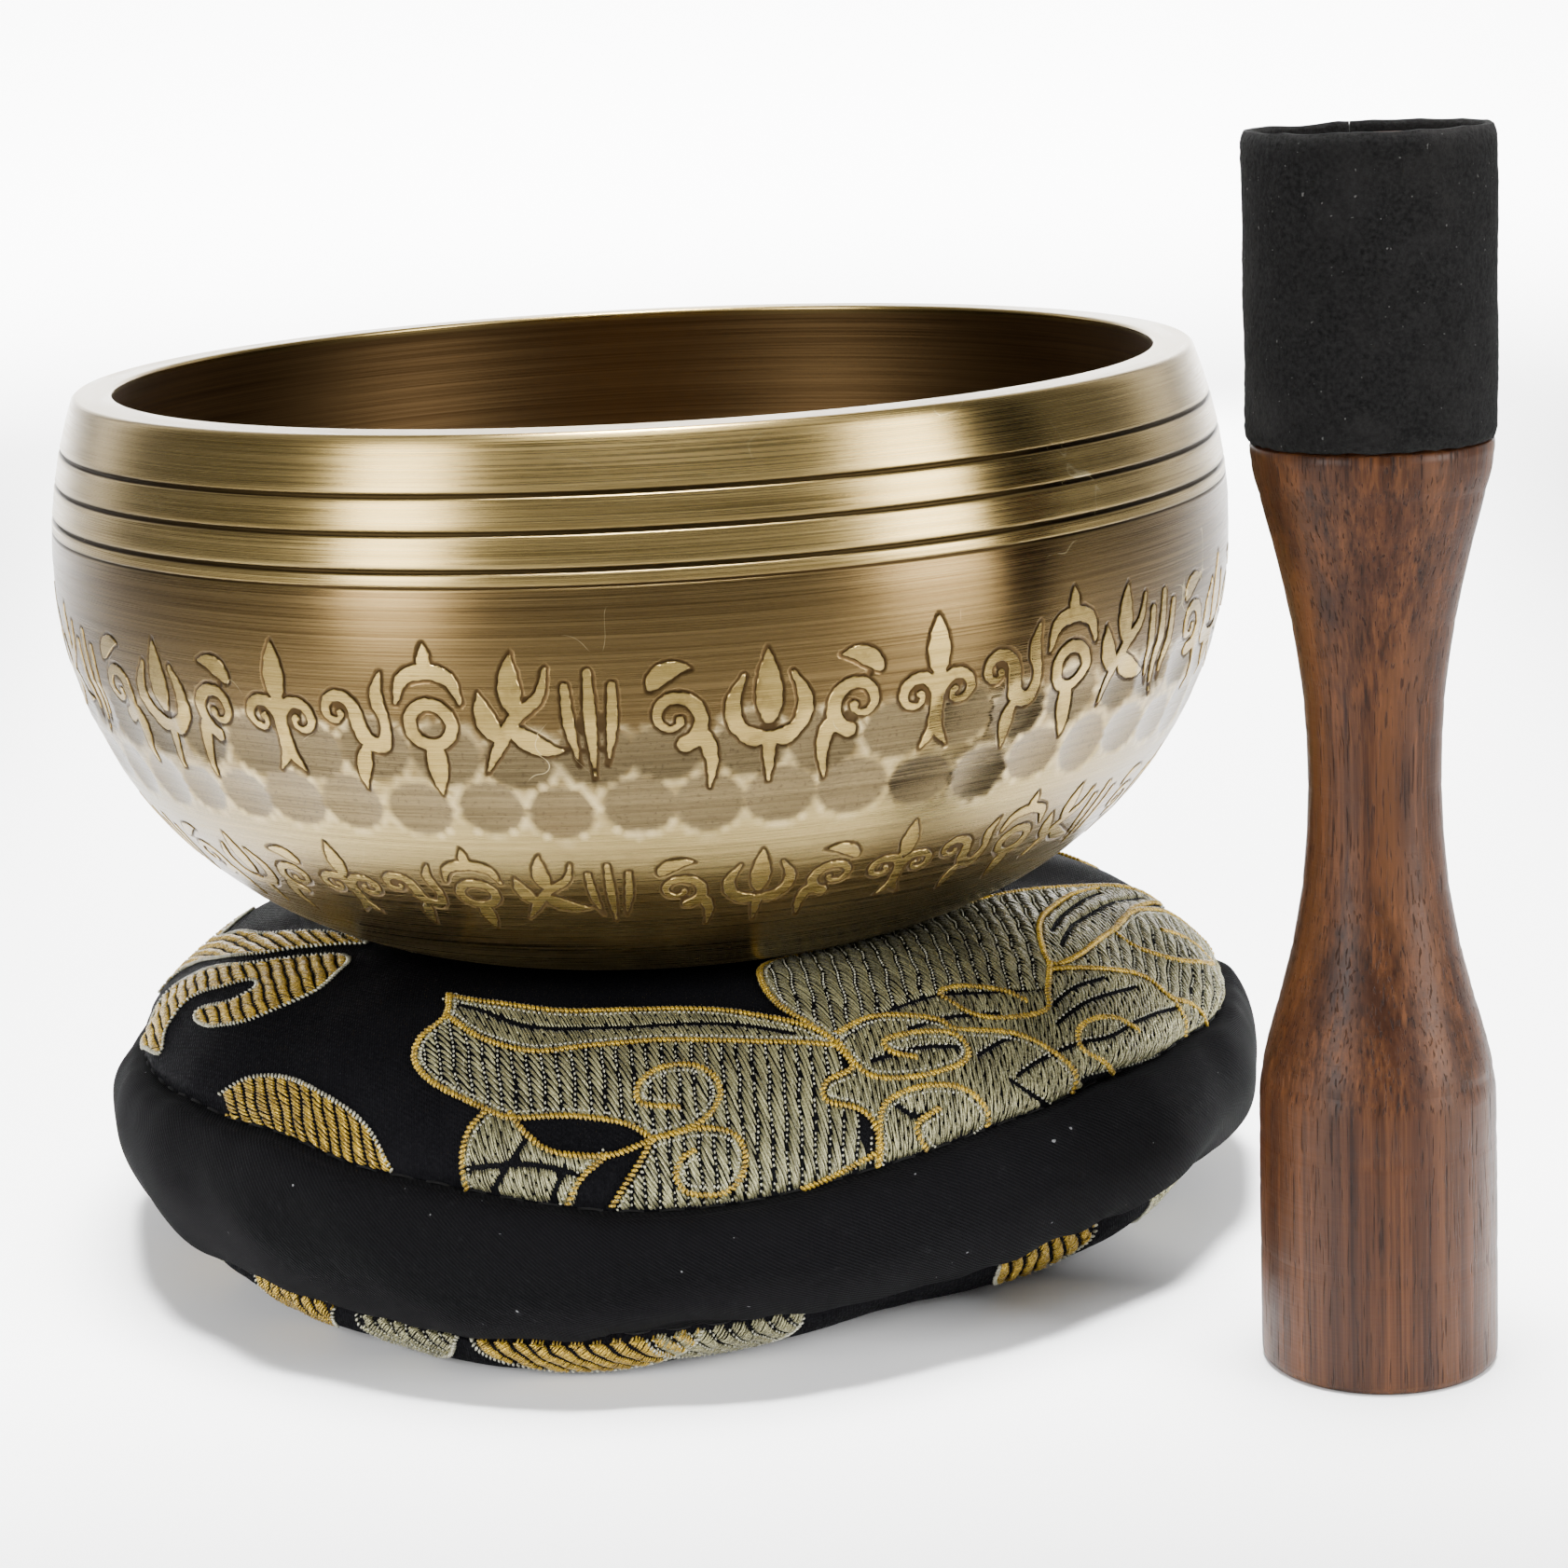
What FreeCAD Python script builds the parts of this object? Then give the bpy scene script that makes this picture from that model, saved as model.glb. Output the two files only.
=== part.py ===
import FreeCAD, Part

# A singing bowl on its round stuffed cushion, with the suede-wrapped mallet that plays it.
#
# Millimetres. The origin is the centre of the cushion's underside, on the table, and +Z is up
# along the common axis of the cushion and the bowl. The mallet stands on its own base beside
# them. Nothing fastens the three together: the bowl and the mallet are simply lifted off.

import math
import os

import Sketcher
from FreeCAD import Vector

DRIVING_DIMENSIONS = [
    # alias, value in mm (counts and degrees say so), what it is
    ("bowl_seat_height", 32.0, "underside of the bowl above the table"),
    ("bowl_foot_radius", 21.0, "flat underside of the bowl"),
    ("belly_radius", 60.0, "widest outside radius of the bowl"),
    ("belly_height", 39.0, "height of the widest circle above the bowl's underside"),
    ("lip_arc_radius", 50.4, "outside arc from the belly in to the lip"),
    ("bowl_height", 57.2, "top of the lip above the bowl's underside"),
    ("wall_at_lip", 3.9, "thickness of the lip face"),
    ("wall_at_belly", 3.3, "wall thickness at the widest circle"),
    ("wall_at_foot", 3.0, "thickness of the bowl's floor"),
    ("lip_inner_arc_radius", 62.0, "inside arc from the belly in to the lip"),
    ("groove_pitch", 3.25, "spacing of the three turned grooves"),
    ("top_groove_height", 52.0, "top groove above the bowl's underside"),
    ("groove_width", 0.55, "width of a turned groove"),
    ("groove_depth", 0.5, "depth of a turned groove"),
    ("score_height", 44.1, "fine scored line under the grooves"),
    ("score_width", 0.3, "width of the scored line"),
    ("score_depth", 0.2, "depth of the scored line"),
    ("cloth", 0.7, "thickness of the brocade and of the twill"),
    ("seat_clearance", 0.3, "gap left between the bowl and the cloth"),
    ("filling_gap", 0.05, "gap left between the cloth and the filling"),
    ("seat_radius", 22.0, "flat part of the dent that the bowl makes"),
    ("crown_radius", 36.0, "highest ring of the cushion, round the bowl"),
    ("crown_height", 33.2, "height of that ring above the table"),
    ("top_seam_radius", 56.5, "seam of the top panel and the side band"),
    ("top_seam_height", 20.0, "height of that seam"),
    ("top_arc_radius", 24.0, "how full the top panel is between crown and seam"),
    ("bottom_seam_radius", 54.0, "seam of the side band and the bottom panel"),
    ("bottom_seam_height", 4.6, "height of that seam"),
    ("band_arc_radius", 8.8, "how full the side band is"),
    ("base_radius", 43.0, "flat part of the underside, which rests on the table"),
    ("base_arc_radius", 19.0, "how full the bottom panel is at its edge"),
    ("thread_radius", 0.2, "sewing thread, doubled"),
    ("thread_clearance", 0.12, "gap left between thread and cloth"),
    ("top_stitch_count", 96.0, "machine stitches round the top seam (a count)"),
    ("bottom_stitch_count", 86.0, "machine stitches round the bottom seam (a count)"),
    ("stitch_sweep", 2.7, "length of one machine stitch round the seam (degrees)"),
    ("closing_count", 9.0, "hand stitches that close the turning gap (a count)"),
    ("closing_pitch", 3.75, "spacing of the hand stitches round the seam (degrees)"),
    ("join_count", 4.0, "stitches up the joined ends of the side band (a count)"),
    ("join_stitch", 1.9, "length of one of those stitches"),
    ("join_pitch", 2.6, "spacing of those stitches"),
    ("mallet_x", 65.9, "mallet's axis, to the right of the bowl's"),
    ("mallet_y", -54.9, "mallet's axis, in front of the bowl's"),
    ("mallet_length", 112.0, "whole mallet, suede included"),
    ("mallet_base_radius", 10.8, "foot of the mallet"),
    ("mallet_edge", 0.5, "eased edge of the foot"),
    ("shoulder_radius", 10.6, "top of the grip, where the waist starts"),
    ("shoulder_height", 26.5, "height of the shoulder"),
    ("waist_radius", 5.9, "narrowest part of the mallet"),
    ("waist_height", 54.5, "height of the waist"),
    ("neck_radius", 10.6, "foot of the striking head, just under the suede"),
    ("neck_height", 84.5, "height where the waist's curve reaches the head"),
    ("suede_height", 85.0, "lower edge of the suede"),
    ("core_radius", 9.7, "wood under the suede"),
    ("suede", 1.2, "thickness of the suede"),
    ("glue_line", 0.05, "glue between the wood and the suede"),
    ("suede_overhang", 1.0, "suede standing above the end of the wood"),
    ("suede_joint", 0.4, "gap of the butt joint down the back of the suede"),
    ("cut_past", 1.0, "how far a cut's outline runs past the surface it cuts"),
]

SUB_PARTS = []


def make_sheet(doc):
    """The spreadsheet that drives every feature; returns a reader of its cells by alias."""
    sheet = doc.addObject("Spreadsheet::Sheet", "dims")
    for row, (alias, value, meaning) in enumerate(DRIVING_DIMENSIONS, start=1):
        sheet.set("A%d" % row, alias.replace("_", " "))
        sheet.set("B%d" % row, str(value))
        sheet.set("C%d" % row, meaning)
        sheet.setAlias("B%d" % row, alias)
    doc.recompute()
    return lambda alias: float(sheet.get(alias))


def new_body(doc, label):
    """An empty PartDesign body that will be written as one named sub-part."""
    body = doc.addObject("PartDesign::Body", label)
    body.Label = label
    SUB_PARTS.append(body)
    return body


def origin_feature(body, role):
    """The body's own origin plane or axis of that role."""
    return next(part for part in body.Origin.OriginFeatures if part.Role == role)


def sketch_on(body, role, name):
    """A sketch on one of the body's own origin planes."""
    sketch = body.newObject("Sketcher::SketchObject", name)
    sketch.AttachmentSupport = [(origin_feature(body, role), "")]
    sketch.MapMode = "FlatFace"
    return sketch


def evaluate(sheet_object, expression):
    """The number that an expression over the sheet's aliases gives."""
    return float(sheet_object.evalExpression(expression.replace("dims.", "")))


def bind(sketch, constraint, name, expression):
    """Adds a driving constraint, names it and ties it to the sheet."""
    index = sketch.addConstraint(constraint)
    sketch.renameConstraint(index, name)
    sketch.setExpression("Constraints." + name, expression)


def arc_between(start, end, radius, bulge):
    """The short arc of that radius between two points, bulging to the given side (+1 is left).

    A sketch keeps its arcs anticlockwise, so one that bulges to the left is drawn from its end.
    """
    chord = end - start
    side = Vector(-chord.y, chord.x, 0).normalize()
    drop = math.sqrt(radius ** 2 - (chord.Length / 2) ** 2)
    centre = (start + end) * 0.5 - side * drop * bulge
    middle = centre + side * radius * bulge
    return Part.Arc(end, middle, start) if bulge > 0 else Part.Arc(start, middle, end)


def draw_profile(sketch, points, edges, tag="p"):
    """Draws a closed, fully constrained outline.

    points: (x expression, y expression) pairs over the sheet. edges: one entry for the edge that
    leaves each point, None for a straight one or (radius expression, bulge side) for an arc.
    """
    sheet = sketch.Document.getObject("dims")
    corners = [Vector(evaluate(sheet, x), evaluate(sheet, y), 0) for x, y in points]
    starts = []
    for i, edge in enumerate(edges):
        here = corners[i]
        there = corners[(i + 1) % len(corners)]
        if edge is None:
            index = sketch.addGeometry(Part.LineSegment(here, there), False)
            starts.append((index, 1, 2))
        else:
            radius, bulge = edge
            arc = arc_between(here, there, evaluate(sheet, radius), bulge)
            index = sketch.addGeometry(arc, False)
            forwards = sketch.getPoint(index, 1).distanceToPoint(here) < 1e-6
            starts.append((index, 1, 2) if forwards else (index, 2, 1))
            bind(sketch, Sketcher.Constraint("Radius", index, evaluate(sheet, radius)),
                 "%s_arc%d" % (tag, i), radius)
    for i, (index, _, last) in enumerate(starts):
        following, first, _ = starts[(i + 1) % len(starts)]
        sketch.addConstraint(Sketcher.Constraint("Coincident", index, last, following, first))
    for i, (index, first, _) in enumerate(starts):
        for axis, kind in (("x", "DistanceX"), ("y", "DistanceY")):
            value = getattr(corners[i], axis)
            if abs(value) < 1e-9:
                other = -2 if axis == "x" else -1
                sketch.addConstraint(Sketcher.Constraint("PointOnObject", index, first, other))
                continue
            bind(sketch, Sketcher.Constraint(kind, -1, 1, index, first, value),
                 "%s_%s%d" % (tag, axis, i), points[i][0 if axis == "x" else 1])


def revolve(body, sketch, name, kind="PartDesign::Revolution", angle=360.0):
    """Turns a sketch about the body's Z axis, adding material or cutting it away."""
    feature = body.newObject(kind, name)
    feature.Profile = sketch
    feature.ReferenceAxis = (origin_feature(body, "Z_Axis"), [""])
    feature.Angle = angle
    sketch.Visibility = False
    return feature


def turned_body(doc, label, points, edges):
    """A body that is one closed outline turned about its Z axis."""
    body = new_body(doc, label)
    sketch = sketch_on(body, "XZ_Plane", label + "_outline")
    draw_profile(sketch, points, edges)
    revolve(body, sketch, label + "_turned")
    return body


def make_bowl(doc):
    """The bowl: one turned and hammered casting, with grooves cut below its lip."""
    seat = "dims.bowl_seat_height"
    lip = seat + " + dims.bowl_height"
    belly = seat + " + dims.belly_height"
    lip_radius = ("dims.belly_radius - dims.lip_arc_radius + sqrt(dims.lip_arc_radius^2"
                  " - (dims.bowl_height - dims.belly_height)^2)")
    floor_arc = "dims.belly_height - dims.wall_at_foot"
    inner_foot = "dims.belly_radius - dims.wall_at_belly - (%s)" % floor_arc
    body = turned_body(doc, "bowl", [
        ("0", seat),
        ("dims.bowl_foot_radius", seat),
        ("dims.belly_radius", belly),
        (lip_radius, lip),
        (lip_radius + " - dims.wall_at_lip", lip),
        ("dims.belly_radius - dims.wall_at_belly", belly),
        (inner_foot, seat + " + dims.wall_at_foot"),
        ("0", seat + " + dims.wall_at_foot"),
    ], [
        None,
        ("dims.belly_height", -1),
        ("dims.lip_arc_radius", -1),
        None,
        ("dims.lip_inner_arc_radius", 1),
        (floor_arc, 1),
        None,
        None,
    ])
    cuts = [("top_groove", "dims.top_groove_height", "dims.groove_width", "dims.groove_depth"),
            ("middle_groove", "dims.top_groove_height - dims.groove_pitch",
             "dims.groove_width", "dims.groove_depth"),
            ("low_groove", "dims.top_groove_height - 2 * dims.groove_pitch",
             "dims.groove_width", "dims.groove_depth"),
            ("scored_line", "dims.score_height", "dims.score_width", "dims.score_depth")]
    for name, height, width, depth in cuts:
        doc.recompute()
        before = body.Shape.Volume
        wall = ("dims.belly_radius - dims.lip_arc_radius + sqrt(dims.lip_arc_radius^2"
                " - (%s - dims.belly_height)^2)" % height)
        root = "%s - %s" % (wall, depth)
        outside = wall + " + dims.cut_past"
        low = "%s + %s - %s / 2" % (seat, height, width)
        high = "%s + %s + %s / 2" % (seat, height, width)
        sketch = sketch_on(body, "XZ_Plane", name + "_outline")
        draw_profile(sketch, [(root, low), (outside, low), (outside, high), (root, high)],
                     [None] * 4)
        revolve(body, sketch, name, kind="PartDesign::Groove")
        doc.recompute()
        if body.Shape.Volume >= before:
            raise SystemExit(name + " cuts nothing")
    return body


def top_curve(inset):
    """The top of the cushion from its axis out to the seam, lowered and drawn in by inset."""
    seat = "dims.bowl_seat_height - dims.seat_clearance - (%s)" % inset
    return [("0", seat),
            ("dims.seat_radius", seat),
            ("dims.crown_radius", "dims.crown_height - (%s)" % inset),
            ("dims.top_seam_radius - (%s)" % inset, "dims.top_seam_height")]


def base_curve(inset):
    """The underside of the cushion from the seam in to its axis, raised and drawn in by inset."""
    return [("dims.bottom_seam_radius - (%s)" % inset, "dims.bottom_seam_height"),
            ("dims.base_radius", inset),
            ("0", inset)]


def make_cushion(doc):
    """The cushion: two round brocade panels, a twill band between them, and the filling."""
    top_arc = "dims.top_arc_radius"
    band_arc = "dims.band_arc_radius"
    base_arc = "dims.base_arc_radius"
    cloth = "dims.cloth"
    inside = "dims.cloth + dims.filling_gap"

    turned_body(doc, "cushion_top_panel",
                top_curve("0") + top_curve(cloth)[::-1],
                [None, None, (top_arc, 1), None, (top_arc, -1), None, None, None])
    turned_body(doc, "cushion_bottom_panel",
                base_curve("0") + base_curve(cloth)[::-1],
                [(base_arc, 1), None, None, None, (base_arc, -1), None])
    turned_body(doc, "cushion_side_band", [
        ("dims.top_seam_radius", "dims.top_seam_height"),
        ("dims.bottom_seam_radius", "dims.bottom_seam_height"),
        ("dims.bottom_seam_radius - dims.cloth", "dims.bottom_seam_height"),
        ("dims.top_seam_radius - dims.cloth", "dims.top_seam_height"),
    ], [(band_arc, 1), None, (band_arc, -1), None])
    turned_body(doc, "cushion_filling",
                top_curve(inside) + base_curve(inside),
                [None, None, (top_arc, 1), (band_arc, 1), (base_arc, 1), None, None])


def stitched_ring(doc, label, radius, height, first_angle, sweep, pitch, count):
    """A run of stitches round the cushion, each a short curved length of thread."""
    body = new_body(doc, label)
    body.AllowCompound = True
    sketch = sketch_on(body, "XZ_Plane", label + "_section")
    sheet = doc.getObject("dims")
    centre = Vector(evaluate(sheet, radius), evaluate(sheet, height), 0)
    thread = evaluate(sheet, "dims.thread_radius")
    circle = sketch.addGeometry(Part.Circle(centre, Vector(0, 0, 1), thread), False)
    bind(sketch, Sketcher.Constraint("Radius", circle, thread), "thread", "dims.thread_radius")
    bind(sketch, Sketcher.Constraint("DistanceX", -1, 1, circle, 3, centre.x), "out", radius)
    bind(sketch, Sketcher.Constraint("DistanceY", -1, 1, circle, 3, centre.y), "up", height)
    stitch = revolve(body, sketch, label + "_stitch")
    stitch.setExpression("Angle", sweep)
    doc.recompute()
    pattern = body.newObject("PartDesign::PolarPattern", label + "_run")
    pattern.Originals = [stitch]
    pattern.Axis = (origin_feature(body, "Z_Axis"), [""])
    pattern.setExpression("Occurrences", count)
    pattern.setExpression("Angle", pitch)
    body.Tip = pattern
    body.Placement = FreeCAD.Placement(Vector(), FreeCAD.Rotation(Vector(0, 0, 1), first_angle))
    return body


def make_seams(doc):
    """The thread of the cushion's seams, lying in the valley between the sewn pieces."""
    clear = "(dims.thread_radius + dims.thread_clearance)"
    top_thread = ("dims.top_seam_radius + " + clear, "dims.top_seam_height + " + clear)
    bottom_thread = ("dims.bottom_seam_radius + " + clear, "dims.bottom_seam_height - " + clear)
    back = 90.0
    sheet = doc.getObject("dims")
    hand_pitch = evaluate(sheet, "dims.closing_pitch")
    gap = evaluate(sheet, "(dims.closing_count + 1) * dims.closing_pitch")
    stitched_ring(doc, "top_seam_thread", *top_thread, back, "dims.stitch_sweep", "360",
                  "dims.top_stitch_count")
    stitched_ring(doc, "bottom_seam_thread", *bottom_thread, back + gap / 2, "dims.stitch_sweep",
                  "360 - (dims.closing_count + 1) * dims.closing_pitch - dims.stitch_sweep",
                  "dims.bottom_stitch_count")
    stitched_ring(doc, "closing_stitches", *bottom_thread, back - gap / 2 + hand_pitch,
                  "dims.stitch_sweep / 2", "(dims.closing_count - 1) * dims.closing_pitch",
                  "dims.closing_count")


def make_band_join(doc, dimension):
    """The stitches up the back of the side band, where the two ends of the strip meet.

    Each is a straight length of thread that lies along the band's outer face.
    """
    thread = dimension("thread_radius")
    count = int(dimension("join_count"))
    middle = (dimension("top_seam_height") + dimension("bottom_seam_height")) / 2
    band = doc.getObject("cushion_side_band").Shape
    reach = 2 * dimension("belly_radius")

    def outside(height):
        """The point just clear of the band's outer face at the back, at that height."""
        probe = Part.makeLine(Vector(0, reach, height), Vector(0, 0, height))
        face = band.common(probe).optimalBoundingBox().YMax
        return Vector(0, face + thread + dimension("thread_clearance"), height)

    stitches = []
    for i in range(count):
        height = middle + (i - (count - 1) / 2) * dimension("join_pitch")
        low = outside(height - dimension("join_stitch") / 2)
        high = outside(height + dimension("join_stitch") / 2)
        along = high - low
        stitches.append(Part.makeCylinder(thread, along.Length, low, along))
    feature = doc.addObject("Part::Feature", "band_join_stitches")
    feature.Label = "band_join_stitches"
    feature.Shape = Part.makeCompound(stitches)
    feature.Placement = FreeCAD.Placement()
    SUB_PARTS.append(feature)


def make_mallet(doc):
    """The mallet: a turned hardwood handle, and a strip of suede glued round its head."""
    length = "dims.mallet_length"
    wood_end = length + " - dims.suede_overhang"
    rise = "(dims.waist_height - dims.shoulder_height)"
    fall = "(dims.neck_height - dims.waist_height)"
    grip_step = "(dims.shoulder_radius - dims.waist_radius)"
    head_step = "(dims.neck_radius - dims.waist_radius)"
    # Each half of the waist is an S: a long hollow arc from the waist runs into a short round
    # one, which meets the grip or the head. The S turns over at this share of its length.
    turn = 0.89

    def s_curve(start_r, start_z, step, span):
        """Points and arc radii of one half of the waist, from the waist outwards."""
        joint = ("%s + %s * %g" % (start_r, step, turn), "%s + %s * %g" % (start_z, span, turn))
        hollow = "((%s * %g)^2 + (%s * %g)^2) / (2 * %s * %g)" % (
            span.strip("-"), turn, step, turn, step, turn)
        round_arc = "((%s * %g)^2 + (%s * %g)^2) / (2 * %s * %g)" % (
            span.strip("-"), 1 - turn, step, 1 - turn, step, 1 - turn)
        return joint, hollow, round_arc

    low_joint, low_hollow, low_round = s_curve(
        "dims.waist_radius", "dims.waist_height", grip_step, "-" + rise)
    high_joint, high_hollow, high_round = s_curve(
        "dims.waist_radius", "dims.waist_height", head_step, fall)

    handle = turned_body(doc, "mallet_handle", [
        ("0", "0"),
        ("dims.mallet_base_radius - dims.mallet_edge", "0"),
        ("dims.mallet_base_radius", "dims.mallet_edge"),
        ("dims.shoulder_radius", "dims.shoulder_height"),
        low_joint,
        ("dims.waist_radius", "dims.waist_height"),
        high_joint,
        ("dims.neck_radius", "dims.neck_height"),
        ("dims.neck_radius", "dims.suede_height"),
        ("dims.core_radius", "dims.suede_height"),
        ("dims.core_radius", wood_end),
        ("0", wood_end),
    ], [
        None,
        None,
        None,
        (low_round, -1),
        (low_hollow, 1),
        (high_hollow, 1),
        (high_round, -1),
        None,
        None,
        None,
        None,
        None,
    ])

    sleeve = turned_body(doc, "mallet_suede_wrap", [
        ("dims.core_radius + dims.glue_line", "dims.suede_height"),
        ("dims.core_radius + dims.suede", "dims.suede_height"),
        ("dims.core_radius + dims.suede", length),
        ("dims.core_radius + dims.glue_line", length),
    ], [None] * 4)
    doc.recompute()
    whole = sleeve.Shape.Volume
    joint = sketch_on(sleeve, "XY_Plane", "suede_joint_outline")
    draw_profile(joint, [
        ("-dims.suede_joint / 2", "dims.core_radius / 2"),
        ("dims.suede_joint / 2", "dims.core_radius / 2"),
        ("dims.suede_joint / 2", "dims.core_radius + dims.suede + dims.cut_past"),
        ("-dims.suede_joint / 2", "dims.core_radius + dims.suede + dims.cut_past"),
    ], [None] * 4)
    slit = sleeve.newObject("PartDesign::Pocket", "suede_joint_cut")
    slit.Profile = joint
    slit.Type = "ThroughAll"
    slit.Midplane = True
    doc.recompute()
    if sleeve.Shape.Volume >= whole:
        raise SystemExit("the suede's joint cuts nothing")

    for body in (handle, sleeve):
        body.setExpression("Placement.Base.x", "dims.mallet_x")
        body.setExpression("Placement.Base.y", "dims.mallet_y")


def write_parts(doc):
    """Checks every object and writes one STEP file for each sub-part."""
    doc.recompute()
    for item in doc.Objects:
        if "Invalid" in item.State or "Error" in item.State:
            raise SystemExit("%s did not recompute: %s" % (item.Label, item.State))
    os.makedirs("parts", exist_ok=True)
    for part in SUB_PARTS:
        shape = part.Shape
        if shape.isNull() or not shape.isValid():
            raise SystemExit(part.Label + " has no valid shape")
        box = shape.optimalBoundingBox()
        print("%-22s %3d solid(s) %9.1f mm3  z %.2f to %.2f" % (
            part.Label, len(shape.Solids), shape.Volume, box.ZMin, box.ZMax))
        shape.exportStep("parts/%s.step" % part.Label)


document = FreeCAD.newDocument("singing_bowl")
dimension_of = make_sheet(document)
make_bowl(document)
make_cushion(document)
make_seams(document)
document.recompute()
make_band_join(document, dimension_of)
make_mallet(document)
write_parts(document)
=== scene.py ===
import math
import random

import bpy
import numpy as np
from mathutils import Matrix, Vector
from mathutils.geometry import delaunay_2d_cdt


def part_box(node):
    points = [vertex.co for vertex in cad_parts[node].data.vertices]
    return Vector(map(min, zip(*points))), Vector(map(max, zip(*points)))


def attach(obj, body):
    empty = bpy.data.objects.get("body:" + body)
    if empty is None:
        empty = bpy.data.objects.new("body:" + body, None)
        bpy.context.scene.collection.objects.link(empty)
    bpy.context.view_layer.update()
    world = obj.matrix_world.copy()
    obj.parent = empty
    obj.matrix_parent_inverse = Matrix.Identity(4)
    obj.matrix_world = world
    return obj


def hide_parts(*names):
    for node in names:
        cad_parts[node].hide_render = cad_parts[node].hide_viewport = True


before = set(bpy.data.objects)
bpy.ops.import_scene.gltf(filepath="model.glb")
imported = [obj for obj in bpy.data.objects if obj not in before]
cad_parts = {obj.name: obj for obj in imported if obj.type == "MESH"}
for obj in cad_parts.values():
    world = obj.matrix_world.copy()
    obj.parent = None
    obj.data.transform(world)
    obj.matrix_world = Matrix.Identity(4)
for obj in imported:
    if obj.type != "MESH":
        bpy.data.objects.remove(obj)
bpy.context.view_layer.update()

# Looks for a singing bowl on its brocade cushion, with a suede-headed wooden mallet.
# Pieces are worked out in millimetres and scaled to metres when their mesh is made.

FRONT_LIGHT, BACK_LIGHT = 0.30, 4.0
MM = 0.001
IN_MM = (1000, 1000, 1000)
TURN = 2 * math.pi
WELD_GRID = 1e-4
TINY, SHORTEST = 1e-12, 1e-9


def cad_box(node):
    """Lowest and highest corner of a CAD node, in millimetres."""
    low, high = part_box(node)
    return np.array(low) / MM, np.array(high) / MM


def unit(vectors):
    """Vectors of length one."""
    return vectors / np.maximum(np.linalg.norm(vectors, axis=-1), SHORTEST)[..., None]


def ring_points(radius, angles, height):
    """Points round the z axis."""
    return np.stack([radius * np.cos(angles), radius * np.sin(angles), height + 0 * angles], -1)


def reach_along(line):
    """The length along a line of flat points, at each of them."""
    return np.concatenate([[0], np.cumsum(np.hypot(*np.diff(line, axis=0).T))])


def nearest_on(start, end, x, y):
    """Each point's nearest place on a segment, as a share of its length, and how far it is."""
    (ax, ay), (bx, by) = start, end
    dx, dy = bx - ax, by - ay
    t = np.clip(((x - ax) * dx + (y - ay) * dy) / (dx * dx + dy * dy + TINY), 0, 1)
    return t, np.hypot(x - ax - t * dx, y - ay - t * dy)


# ---------------------------------------------------------------- meshes

def make_mesh(name, points, faces, body, material, replaces=()):
    """A smooth-shaded object from millimetre points, riding on a CAD body."""
    mesh = bpy.data.meshes.new(name)
    mesh.from_pydata((np.asarray(points, float) * MM).tolist(), [], faces)
    mesh.validate()
    mesh.polygons.foreach_set("use_smooth", [True] * len(mesh.polygons))
    mesh.materials.append(material)
    piece = bpy.data.objects.new(name, mesh)
    bpy.context.scene.collection.objects.link(piece)
    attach(piece, body)
    if replaces:
        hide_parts(*replaces)
    return piece


def add_attribute(piece, name, values):
    """A per-vertex number that a material can read."""
    attribute = piece.data.attributes.new(name, "FLOAT", "POINT")
    attribute.data.foreach_set("value", np.asarray(values, np.float32))


def weld(points, faces):
    """Joins coinciding points; returns points, faces and the old-to-new index."""
    keys = np.round(np.asarray(points) / WELD_GRID).astype(np.int64)
    _, first, back = np.unique(keys, axis=0, return_index=True, return_inverse=True)
    back = back.reshape(-1)
    joined = []
    for face in faces:
        corners = [int(back[i]) for i in face]
        corners = [c for k, c in enumerate(corners) if c != corners[k - 1]]
        if len(set(corners)) >= 3:
            joined.append(corners)
    return np.asarray(points)[first], joined, first


# ---------------------------------------------------------------- materials

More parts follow.
